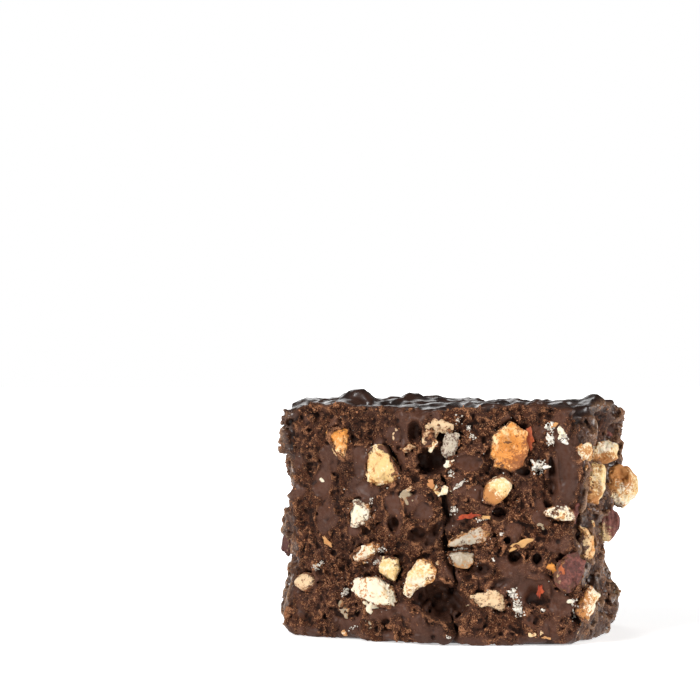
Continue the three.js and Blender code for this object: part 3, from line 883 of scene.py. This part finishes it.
# Bubbles: in what places, how many, smallest and largest radius.
BUBBLES = [
    ("rough", 1000, 0.35, 0.75), ("broken", 160, 0.7, 1.7),
    ("side", 220, 0.5, 1.6), ("open side", 44, 1.4, 3.2),
]
CRISP_WIDTH = 0.9  # of the blur that shows where the surface stands out and where it lies deep


def make_chocolate():
    grid = Grid(CAD_LOW - MARGIN, CAD_HIGH + MARGIN, STEP)
    field, kinds, kernels, facing = chocolate_fields(grid)
    rng = np.random.default_rng(SEED + 20)
    is_broken, is_side = kinds["broken"] > 0.7, kinds["side"] > 0.7
    places = {
        "rough": is_broken & (kinds["smooth"] < 0.5), "broken": is_broken,
        "side": is_side, "open side": is_side & (kernels > 2.9),
    }
    for where, count, *radii in BUBBLES:
        pierce(grid, field, places[where], rng, count, radii)
    points, quads = largest_part(*polygons(field, grid))
    kinds["crisp"] = blur(field, CRISP_WIDTH, grid.step)
    values = {key: sample(array, grid, points) for key, array in kinds.items()}
    piece = add_piece("toffee", points, quads, values, chocolate_material(), "chocolate", BLOCK)
    facing = np.stack([sample(part, grid, points) for part in facing], -1)
    lay_out(piece.data, points, facing)
    values["kernels"] = sample(kernels, grid, points)
    values["clusters"] = sample(noise(grid, 6.0, SEED + 14), grid, points)
    return quads, grid, field, points, values, facing


skin_quads, chocolate_grid, chocolate_field, skin_points, skin_values, skin_facing = make_chocolate()

# ---------- the nuts ----------

# The nut pieces: shade, how deep in colour, how toasted, how smeared, and where on its face it deepens: the
# direction in degrees (0 right, 90 up) and how much more depth and toast it has there.
NUT_LOOKS = {
    1: ("golden", 0.15, 0.0, 0, 90, 0.75, 0.0), 2: ("cream", 0.40, 0.0, 0, 330, 0.3, 0.15),
    3: ("cream", -0.4, -0.1, 0.1, 0, 0, 0.2), 4: ("grey", -0.5, -0.3, 0.05, 90, 0.3, 0),
    5: ("golden", 0.30, 0.06, 0.05, 320, 0.25, 0.50), 6: ("cream", 0.15, -0.1, 0.08, 235, 0.1, 1.2),
    7: ("cream", -0.1, 0.1, 0.1, 180, 0, 0.1), 8: ("tan", -0.4, 0.1, 0.1, 270, 0.2, 0.2),
    9: ("cream", -0.2, 0.1, 0.05, 45, 0.3, 0.1), 10: ("cream", 0.30, -0.35, 0, 270, 0.1, 0.1),
    11: ("cream", -0.35, -0.1, 0, 290, 0.1, 0.25), 12: ("cream", 0.0, -0.1, 0, 45, 0.2, 0.35),
    13: ("grey", -0.3, 0.1, 0, 0, 0.1, 0.6), 14: ("grey", 0.0, -0.1, 0, 300, 0.3, 0.5),
    15: ("tan", -0.3, -0.1, 0.05, 40, 0.5, 0.5), 16: ("cream", 0.05, -0.15, 0, 270, 0.4, 0.6),
    17: ("cream", 0.30, -0.15, 0.05, 250, 0.1, 0.4), 18: ("cream", 0.05, -0.10, 0.0, 100, 0.3, 0.55),
    19: ("skin", 0, -0.6, 0, 235, 0, 1.0), 20: ("golden", 0.0, -0.1, 0.0, 0, 0.2, 0.2),
    21: ("skin", 0.1, -0.6, 0.15, 180, 0, 0.5), 22: ("cream", -0.1, 0.1, 0.05, 200, 0.1, 0.4),
}
SHADES = ["cream", "golden", "cream", "tan", "cream", "grey", "golden", "skin"]
WHOLE = (6, 8, 19)  # kernels that are smooth and round, not broken
CUTS = {5: 0, 13: 5, 14: 4, 21: 4}
USUAL_CUTS = 8
# Dishes in the faces of nuts: right, up, radius, depth.
DISHES = {5: (0, -0.6, 4.8, 2.2), 16: (0.3, 1.4, 4.2, 1.3), 20: (-2.0, -0.8, 3.0, 1.2)}
SLIT = (-0.6, 1.1, 1.3, 0.35)  # in the half nut: right, up, half width, half height
HALF_NUT = 5
UP = np.array([0.0, 0.0, 1.0])


def face_axes(outward):
    """Directions to the right and upwards on a surface, as seen from outside."""
    right = np.cross(UP, outward)
    right = right / max(np.linalg.norm(right), 1e-6)
    return right, np.cross(outward, right)


def nut_look(number):
    if number in NUT_LOOKS:
        return NUT_LOOKS[number]
    rng = np.random.default_rng(SEED + number)
    shade = SHADES[(number - 24) % len(SHADES)]
    toast = -0.5 if shade == "skin" else 0.1
    return (shade, rng.uniform(-0.4, 0.4), toast, rng.uniform(0, 0.1), rng.uniform(0, 360), 0.3, 0.3)


def cut_faces(field, axes, offsets, directions, count, rng):
    """Cuts flat faces into a nut's field. The offsets are those of its CAD points from its middle."""
    outward, right, up = directions
    for _ in range(count):
        tilt, turn = rng.uniform(0.15, 1.3), rng.uniform(0, 2 * math.pi)
        normal = outward + tilt * (math.cos(turn) * right + math.sin(turn) * up)
        normal /= np.linalg.norm(normal)
        extent = (offsets @ normal).max() - rng.uniform(0.2, 1.1)
        cut = sum(a * n for a, n in zip(axes, normal)) - extent
        field = -smooth_min(-field, -cut, 0.15)
    return field


def roughened(field, grid, seed, is_whole, shade):
    """A nut's field with its uneven surface."""
    uneven = 0.10 if is_whole else 0.20
    field = field - 0.12 - uneven * noise(grid, 3.6, seed) - 0.6 * uneven * noise(grid, 1.6, seed + 1)
    if not is_whole:
        field = field + 0.16 * np.abs(noise(grid, 1.1, seed + 2)) - 0.1
    if shade == "skin":
        field = field - 0.16 * noise(grid, 1.7, seed + 3, (0.7, 0.7, 4.0))
    return field


def nut_values(number, look, offsets, normal, directions, contact, into_dish):
    """How deep in colour, how toasted and how smeared a nut is from point to point."""
    depth, toast, smear, angle, more_depth, more_toast = look
    outward, right, up = directions
    rim = smoothstep(0.15, 0.75, 1 - normal @ outward)
    c, s = turned(angle)
    side = offsets @ (c * right + s * up)
    side = np.clip(side / max(np.abs(side).max(), 1e-6) + 0.15, -0.6, 1)
    # Painted shade: the colour deepens inside a dish.
    depth = depth + 0.3 * smoothstep(-0.4, 0.4, into_dish)
    if number == HALF_NUT:
        across, above = offsets @ right - SLIT[0], offsets @ up - SLIT[1]
        smear = smear + 0.8 * smoothstep(1.2, 0.6, np.hypot(across / SLIT[2], above / SLIT[3]))
    return {
        "depth": depth + more_depth * side,
        "toast": toast + 0.35 * rim + more_toast * np.clip(side, 0, 1),
        "smear": smear + 0.35 * smoothstep(0.9, 0.0, contact),
    }


def make_nut(number, materials):
    name = f"hazelnut_{number:02d}"
    shade, *look = nut_look(number)
    is_whole = number in WHOLE
    points, triangles = read_mesh(name)
    centre = points.mean(0)
    margin = SHARD_MARGIN if number in OUTLINES else MARGIN / 2
    grid = Grid(points.min(0) - margin, points.max(0) + margin, NUT_STEP)
    plain = blur(level_set(points, triangles, grid, NUT_REACH), 0.7 if is_whole else 0.3, grid.step)
    if number in OUTLINES:
        plain = smooth_min(plain, shard_fields(*grid.axes(), number, points)[1], 0.5)
    outward = slopes(*chocolate_outline, centre[None, :])[0]
    right, up = face_axes(outward)
    directions = (outward, right, up)
    axes = [a - c for a, c in zip(grid.axes(), centre)]
    seed = SEED + 100 * number
    field = plain
    if not is_whole:
        count = CUTS.get(number, USUAL_CUTS)
        field = cut_faces(field, axes, points - centre, directions, count, np.random.default_rng(seed))
    field = roughened(field, grid, seed, is_whole, shade)
    if number in DISHES:
        aside, above, radius, deep = DISHES[number]
        face = ((points - centre) @ outward).max()
        hollow = outward * (face + radius - deep) + aside * right + above * up
        ball = np.sqrt(sum((a - h) ** 2 for a, h in zip(axes, hollow))) - radius
        field = -smooth_min(-field, ball + 0.15 * noise(grid, 2.0, seed + 4), 0.4)
    found, quads = largest_part(*polygons(field, grid))
    offsets = found - centre
    into_dish = radius - np.linalg.norm(offsets - hollow, axis=1) if number in DISHES else -1.0
    contact = sample(chocolate_field, chocolate_grid, found)
    values = nut_values(number, look, offsets, slopes(plain, grid, found), directions, contact, into_dish)
    add_piece(name + "_real", found, quads, values, materials[shade], "nut_" + shade, name)


AROUND = 8  # how far beyond the CAD box the melted block is known
chocolate_outline = melted_block(CAD_LOW - AROUND, CAD_HIGH + AROUND)
nut_materials = {shade: nut_material(shade) for shade in NUT_COLOURS}
for number in range(1, len(NUT_NODES) + 1):
    make_nut(number, nut_materials)

# ---------- crumbs of nut, powder, flakes of skin and crumbs of chocolate ----------

CHIP_STEP = 0.28
above_floor = skin_points[:, 2] > 2.5
surface = BVHTree.FromPolygons(skin_points.tolist(), skin_quads.tolist())


def on_front(x, z):
    """Where the camera sees a place on the front, on the chocolate's surface, and the way out there."""
    eye = here(*CAMERA_PLACE)
    ray = here(x, front_line(x), z) - eye
    place = np.array(surface.ray_cast(Vector(eye), Vector(ray).normalized())[0])
    return place, slopes(*chocolate_outline, place[None, :])[0]


def settled(points, place, outward, turn):
    """Points modelled with +Z outwards, at a place on the surface."""
    right, up = face_axes(outward)
    c, s = math.cos(turn), math.sin(turn)
    basis = np.stack([c * right + s * up, c * up - s * right, outward])
    return points @ basis + place


def split(quads):
    """Quads as triangles."""
    return np.concatenate([quads[:, [0, 1, 2]], quads[:, [0, 2, 3]]])


def chip(size, rng):
    """Points and quads of a splinter with flat sides."""
    half = np.array(size) / 2
    grid = Grid(-half - 0.7, half + 0.7, CHIP_STEP)
    x, y, z = (a / h for a, h in zip(grid.axes(), half))
    field = np.full(grid.shape, -9.0, np.float32)
    for _ in range(11):
        n = rng.standard_normal(3)
        n /= np.linalg.norm(n)
        field = np.maximum(field, (n[0] * x + n[1] * y + n[2] * z - rng.uniform(0.62, 1.0)) * half.min())
    field = field - 0.12 * noise(grid, 1.2, int(rng.integers(1 << 30)))
    return polygons(field, grid)


# Crumbs of nut on the front: x, height, width, height, turn in degrees, shade, depth, toast.
SHOWN_CRUMBS = [
    (-7.4, 62.5, 6.0, 3.4, -8, "tan", -0.3, 0.0), (-11.0, 58.5, 2.8, 5.6, -30, "tan", -0.2, 0.1),
    (-16.4, 55.2, 4.0, 2.4, 20, "tan", 0.3, 0.2), (-6.9, 43.8, 4.8, 2.9, -8, "cream", -0.1, -0.1),
    (-16.4, 40.4, 4.4, 3.8, -30, "grey", 0.4, -0.2), (-26.5, 9.9, 4.2, 3.4, 0, "cream", -0.5, -0.3),
    (-34.8, 8.7, 3.0, 4.0, 0, "grey", 0.2, -0.1), (-27.1, 5.5, 3.4, 4.8, 15, "grey", 0.3, -0.1),
    (-34.2, 1.9, 3.6, 2.0, 0, "cream", 0.0, 0.3), (-7.5, 23.1, 2.0, 2.2, 0, "tan", 0.0, 0.0),
    (19.0, 3.4, 5.0, 2.2, 0, "golden", -0.5, -0.1), (27.2, 59.3, 1.8, 4.6, 25, "cream", -0.4, -0.2),
    (-20.0, 58.5, 3.0, 1.2, 50, "tan", -0.2, -0.1), (-42.5, 20.5, 2.6, 1.4, 30, "grey", -0.2, 0.1),
    (20.0, 34.4, 2.4, 1.8, 0, "grey", 1.0, -0.4), (-30.8, 8.0, 1.2, 3.6, -20, "tan", 0.0, 0.0),
    (-3.9, 54.8, 1.6, 3.8, -30, "cream", -0.5, -0.1), (-4.8, 51.2, 2.6, 1.6, 20, "cream", -0.4, -0.1),
    (24.0, 22.0, 3.0, 3.6, 20, "golden", 0.9, -0.1), (31.2, 38.2, 2.2, 6.4, -6, "skin", 0.0, -0.3),
    (32.4, 54.4, 6.4, 4.2, -5, "cream", 0.1, 0.1), (-9.4, 55.8, 1.6, 3.2, -35, "cream", -0.1, 0.0),
    (-40.5, 45.6, 1.8, 1.4, 10, "cream", -0.3, 0.0), (-16.2, 43.6, 3.0, 1.0, 40, "tan", 0.0, 0.1),
    (34.0, 50.0, 2.4, 1.8, 30, "cream", -0.1, 0.2), (29.9, 12.6, 2.4, 0.9, 5, "cream", -0.6, -0.3),
]
HIDDEN_CRUMBS = 46       # on the back, the sides and between the others
HIDDEN_SIZE = (1.6, 4.6)
SINK = 0.38              # how deep the middle of a crumb lies, as a share of its height


def make_nut_crumbs():
    rng = np.random.default_rng(SEED + 30)
    found = {}
    rows = [(*on_front(x, z), w, h, turn, *look) for x, z, w, h, turn, *look in SHOWN_CRUMBS]
    free = above_floor & (skin_values["kernels"] > 2.2)
    away = free & (skin_values["broken"] > 0.6) & (skin_facing[:, 1] > -0.3)
    side = free & (np.abs(skin_facing[:, 0]) > 0.75)
    for chosen, count in ((away, HIDDEN_CRUMBS * 2 // 3), (side, HIDDEN_CRUMBS // 3)):
        for index in rng.choice(np.flatnonzero(chosen), count, replace=False):
            w, h = rng.uniform(*HIDDEN_SIZE, 2)
            shade = SHADES[int(rng.integers(len(SHADES)))]
            look = (shade, rng.uniform(-0.4, 0.4), -0.3 if shade == "skin" else 0.1)
            rows.append((skin_points[index], skin_facing[index], w, h, rng.uniform(0, 360), *look))
    for place, outward, w, h, turn, shade, depth, toast in rows:
        tall = 0.75 * min(w, h)
        points, quads = chip((w, h, tall), rng)
        smear = 0.30 * smoothstep(0.1, -0.3, points[:, 2] / tall)
        points = settled(points, place - SINK * tall * outward, outward, math.radians(turn))
        found.setdefault(shade, []).append((points, quads, depth, toast, smear))
    for shade, parts in found.items():
        points, quads = joined([(p, q) for p, q, *_ in parts])
        values = {
            "depth": np.concatenate([np.full(len(p), depth) for p, _, depth, _, _ in parts]),
            "toast": np.concatenate([np.full(len(p), toast + 0.2) for p, _, _, toast, _ in parts]),
            "smear": np.concatenate([smear for *_, smear in parts]),
        }
        add_piece("nut_crumbs_" + shade, points, quads, values, nut_materials[shade], "nut_" + shade)


GOLDEN = (1 + math.sqrt(5)) / 2
ICOSAHEDRON = np.array([(0, a, b * GOLDEN) for a in (-1, 1) for b in (-1, 1)], float)
ICOSAHEDRON = np.concatenate([np.roll(ICOSAHEDRON, k, axis=1) for k in range(3)]) / math.sqrt(1 + GOLDEN ** 2)


def hull_faces(points):
    """Triangles of the icosahedron, outwards."""
    near = np.linalg.norm(points[:, None] - points[None], axis=2)
    side = near[near > 0].min() * 1.01
    faces = [(i, j, k) for i in range(len(points)) for j in range(i) for k in range(j)
             if max(near[i, j], near[j, k], near[i, k]) < side]
    return np.array([f if np.linalg.det(points[list(f)]) > 0 else f[::-1] for f in faces])


ICOSAHEDRON_FACES = hull_faces(ICOSAHEDRON)


def grains(places, outward, radii, rng):
    """Uneven little grains, one at each place, as one mesh."""
    count, corners = len(places), len(ICOSAHEDRON)
    shape = ICOSAHEDRON[None] * rng.uniform(0.6, 1.3, (count, corners, 1))
    shape = shape * rng.uniform(0.5, 1.5, (count, 1, 3))
    points = shape * radii[:, None, None] + (places + outward * radii[:, None] * 0.35)[:, None]
    faces = ICOSAHEDRON_FACES[None] + corners * np.arange(count)[:, None, None]
    return points.reshape(-1, 3), faces.reshape(-1, 3)


def make_chocolate_crumbs(count=7500):
    rng = np.random.default_rng(SEED + 31)
    rough = skin_values["broken"] * np.clip(1 - skin_values["smooth"], 0, 1)
    weight = rough * smoothstep(-0.6, 1.4, skin_values["clusters"])
    weight *= smoothstep(-0.35, 0.15, skin_values["crisp"])
    weight *= (skin_values["kernels"] > 0.1) & above_floor
    chosen = rng.choice(len(skin_points), count, replace=False, p=weight / weight.sum())
    radii = 0.10 + 0.17 * rng.random(count) ** 2.5
    points, faces = grains(skin_points[chosen], skin_facing[chosen], radii, rng)
    tone = np.repeat(rng.random(count), len(ICOSAHEDRON))
    add_piece("chocolate_crumbs", points, faces, {"tone": tone}, crumb_material(), "chocolate")


# White crumbs in heaps on the front: x, height, width, height, turn in degrees, how many.
POWDER_HEAPS = [
    (20.3, 50.2, 3.6, 3.8, 0, 70), (23.6, 61.2, 1.8, 2.6, 0, 26), (23.6, 57.6, 2.0, 3.4, -10, 34),
    (27.2, 58.6, 1.8, 3.6, 30, 26), (13.3, 14.6, 2.6, 3.4, 15, 40), (14.6, 10.6, 2.6, 4.4, 15, 50),
    (-4.2, 48.3, 1.6, 2.4, 0, 14), (-1.8, 45.3, 4.6, 0.9, 35, 24), (-3.4, 38.2, 2.0, 2.6, 0, 20),
    (-26.5, 39.5, 1.0, 2.6, 0, 9), (-33.8, 13.8, 3.4, 1.6, 50, 22), (-23.4, 26.3, 2.6, 1.6, 30, 14),
    (-24.9, 22.8, 1.8, 1.4, 0, 12), (-42.2, 20.2, 2.4, 2.0, 40, 14), (-40.6, 21.7, 1.4, 1.2, 0, 6),
    (4.6, 35.6, 3.4, 0.9, 10, 14), (1.8, 58.6, 1.4, 2.2, 30, 10), (0.6, 60.9, 1.2, 1.6, 0, 7),
    (21.6, 10.2, 1.6, 1.0, 0, 6), (29.6, 12.8, 2.4, 1.0, 0, 12), (29.9, 9.4, 0.8, 4.6, 0, 10),
    (7.5, 24.5, 1.0, 1.2, 0, 5), (10.3, 31.6, 1.4, 1.0, 20, 6), (-1.6, 27.4, 3.6, 0.7, 5, 14),
    (-31.4, 3.6, 3.0, 1.2, 40, 8), (-4.9, 2.6, 1.6, 1.0, 0, 6), (-2.0, 63.5, 3.0, 2.4, 0, 10),
]
LUMPY_HEAP = 26      # grains in the smallest heap that has lumps too
GRAINS_A_LUMP = 9
LUMP_SPREAD = 0.22   # as a share of a heap's size
GRAIN_SPREAD = 0.27


def scattered(x, z, width, height, turn, spread, rng):
    """A place in a heap on the front, and the way out there."""
    c, s = turned(turn)
    u, v = rng.normal(0, spread, 2).clip(-0.5, 0.5) * (width, height)
    return on_front(x + u * c - v * s, z + v * c + u * s)


def make_powder(count=380):
    rng = np.random.default_rng(SEED + 32)
    places, outward, radii, lumps = [], [], [], []
    for *heap, many in POWDER_HEAPS:
        for _ in range(many // GRAINS_A_LUMP if many >= LUMPY_HEAP else 0):
            place, out = scattered(*heap, LUMP_SPREAD, rng)
            size = rng.uniform(0.8, 1.7, 3) * (1, 1, 0.8)
            points, quads = chip(size, rng)
            lumps.append((settled(points, place + 0.3 * out, out, rng.uniform(0, 6)), split(quads)))
        for _ in range(2 * many):
            place, out = scattered(*heap, GRAIN_SPREAD, rng)
            places.append(place + out * rng.uniform(0, 0.3))
            outward.append(out)
            radii.append(rng.uniform(0.09, 0.27))
    near = smoothstep(3.0, 0.4, skin_values["kernels"]) * (skin_values["kernels"] > 0.1) + 0.05
    weight = near * skin_values["broken"] * above_floor
    chosen = rng.choice(len(skin_points), count, replace=False, p=weight / weight.sum())
    places = np.concatenate([places, skin_points[chosen]])
    outward = np.concatenate([outward, skin_facing[chosen]])
    radii = np.concatenate([radii, 0.08 + 0.14 * rng.random(count) ** 2])
    points, faces = joined([grains(places, outward, radii, rng), *lumps])
    add_piece("nut_powder", points, faces, {}, powder_material(), "nut_cream")


# Flakes of skin on the front: x, height, width, height, turn in degrees, bend, how golden.
SHOWN_FLAKES = [
    (18.1, 58.5, 2.2, 5.6, 8, 0.5, 0.1), (0.4, 36.6, 5.0, 1.6, 12, 0.4, 0),
    (20.6, 15.8, 1.4, 4.0, -8, 0.5, 0), (15.1, 28.6, 6.0, 2.2, 25, 1.2, 1),
    (5.2, 36.2, 3.0, 1.0, -8, 0.6, 1), (-9.5, 45.3, 1.8, 2.6, 40, 0.4, 0.6),
    (26.4, 21.5, 1.6, 2.4, 0, 0.6, 0.2), (-38.5, 28.0, 1.2, 4.6, 50, 0.8, 0.8),
    (22.4, 2.9, 2.2, 0.9, 0, 0.4, 0.8), (-15.5, 14.6, 1.4, 1.0, 0, 0.4, 0.5),
    (24.4, 61.8, 2.0, 1.2, 30, 0.6, 0.8),
]
HIDDEN_TOP = 60.0  # flakes that the camera does not see lie below this height
FLAKE_RINGS, FLAKE_SECTORS, FLAKE_THICKNESS = 4, 18, 0.16


def faces_of(*corners):
    """Triangles, from lists of their three corners."""
    return np.concatenate([np.stack(three, -1) for three in corners])


def flake(width, height, bend, rng):
    """Points and faces of a thin bent scrap."""
    angle = 2 * math.pi * np.arange(FLAKE_SECTORS) / FLAKE_SECTORS
    edge = 1 + 0.22 * np.sin(2 * angle + rng.uniform(0, 6)) + 0.20 * np.sin(5 * angle + rng.uniform(0, 6))
    edge = edge + 0.14 * rng.standard_normal(FLAKE_SECTORS)
    share = (np.arange(FLAKE_RINGS) + 0.35) / (FLAKE_RINGS - 0.65)
    x = (share[:, None] * edge * np.cos(angle)).ravel() * width / 2
    y = (share[:, None] * edge * np.sin(angle)).ravel() * height / 2
    z = bend * 4 * (x / width) ** 2 * 0.5 + 0.2 * np.sin(2.2 * x + 1.4 * y)
    top = np.stack([x, y, z + 0.9], -1)
    bottom = top - (0, 0, FLAKE_THICKNESS)
    count = len(top)
    at = np.arange(count).reshape(FLAKE_RINGS, FLAKE_SECTORS)
    inner, outer = at[:-1].ravel(), at[1:].ravel()
    inner_next, outer_next = np.roll(at[:-1], -1, 1).ravel(), np.roll(at[1:], -1, 1).ravel()
    fan = (np.full(FLAKE_SECTORS - 2, at[0, 0]), at[0, 1:-1], at[0, 2:])
    sheet = faces_of((inner, outer, outer_next), (inner, outer_next, inner_next), fan)
    rim, rim_next = at[-1], np.roll(at[-1], -1)
    wall = faces_of((rim, rim + count, rim_next + count), (rim, rim_next + count, rim_next))
    return np.concatenate([top, bottom]), np.concatenate([sheet, sheet[:, ::-1] + count, wall])


def make_flakes(hidden=9):
    rng = np.random.default_rng(SEED + 33)
    parts, gold = [], []
    for x, z, width, height, turn, bend, tint in SHOWN_FLAKES:
        place, outward = on_front(x, z)
        points, faces = flake(width, height, bend, rng)
        parts.append((settled(points, place, outward, math.radians(turn)), faces))
        gold.append(np.full(len(points), tint))
    spots = above_floor & (skin_points[:, 2] < HIDDEN_TOP) & (skin_values["kernels"] > 1)
    spots = np.flatnonzero(spots & (skin_values["broken"] > 0.6) & (skin_facing[:, 1] > 0.5))
    for index in rng.choice(spots, hidden, replace=False):
        points, faces = flake(*rng.uniform(1.4, 4.2, 2), rng.uniform(0.3, 1), rng)
        parts.append((settled(points, skin_points[index], skin_facing[index], rng.uniform(0, 6)), faces))
        gold.append(np.full(len(points), rng.choice([0, 0.3, 0.9])))
    points, faces = joined(parts)
    add_piece("nut_skin_flakes", points, faces, {"gold": np.concatenate(gold)}, flake_material(), "nut_skin")


make_nut_crumbs()
make_chocolate_crumbs()
make_powder()
make_flakes()

# ---------- floor, light and camera ----------

FLOOR_SIZE = 8          # metres, like all that follows
FLOOR_HEIGHT = -0.0001
AIM = Vector((0, 0, 0.035))

bpy.ops.mesh.primitive_plane_add(size=FLOOR_SIZE, location=(0, 0, FLOOR_HEIGHT))
floor = bpy.context.object
floor.name = "floor"
floor.data.materials.append(floor_material())


def add_light(name, kind, energy, towards, place=(0, 0, 0), **settings):
    """A light that shines along a direction."""
    data = bpy.data.lights.new(name, kind)
    data.energy = energy
    for key, value in settings.items():
        setattr(data, key, value)
    lamp = add_object(name, data)
    lamp.location = place
    lamp.rotation_euler = Vector(towards).to_track_quat("-Z", "Y").to_euler()


SUN_ANGLE = math.radians(26)
BACK_PLACE = Vector((-0.2, 0.9, 0.5))
add_light("key", "SUN", 3.4, (0.75, 0.60, -0.62), angle=SUN_ANGLE)
add_light("second", "SUN", 2.7, (-0.85, 0.45, -0.50), angle=SUN_ANGLE)
add_light("back", "AREA", 1.8, AIM - BACK_PLACE, BACK_PLACE, shape="DISK", size=0.6)

world = bpy.data.worlds.new("studio")
bpy.context.scene.world = world
world.use_nodes = True
world_tree = world.node_tree
world_tree.nodes.clear()
seen = node(world_tree, "ShaderNodeBackground", {"Color": (1, 1, 1, 1), "Strength": 1.0})
lit = node(world_tree, "ShaderNodeBackground", {"Color": (1, 1, 1, 1), "Strength": 0.06})
ray = node(world_tree, "ShaderNodeLightPath").outputs["Is Camera Ray"]
both = node(world_tree, "ShaderNodeMixShader", {0: ray, 1: lit.outputs[0], 2: seen.outputs[0]})
node(world_tree, "ShaderNodeOutputWorld", {"Surface": both.outputs[0]})
bpy.context.scene.view_settings.view_transform = "Standard"

camera_data = bpy.data.cameras.new("camera")
camera_data.lens = LENS
camera_data.sensor_width = SENSOR
camera = add_object("camera", camera_data)
camera.location = Vector(here(*CAMERA_PLACE) * MM)
camera.rotation_euler = (math.pi / 2, 0, 0)
bpy.context.scene.camera = camera
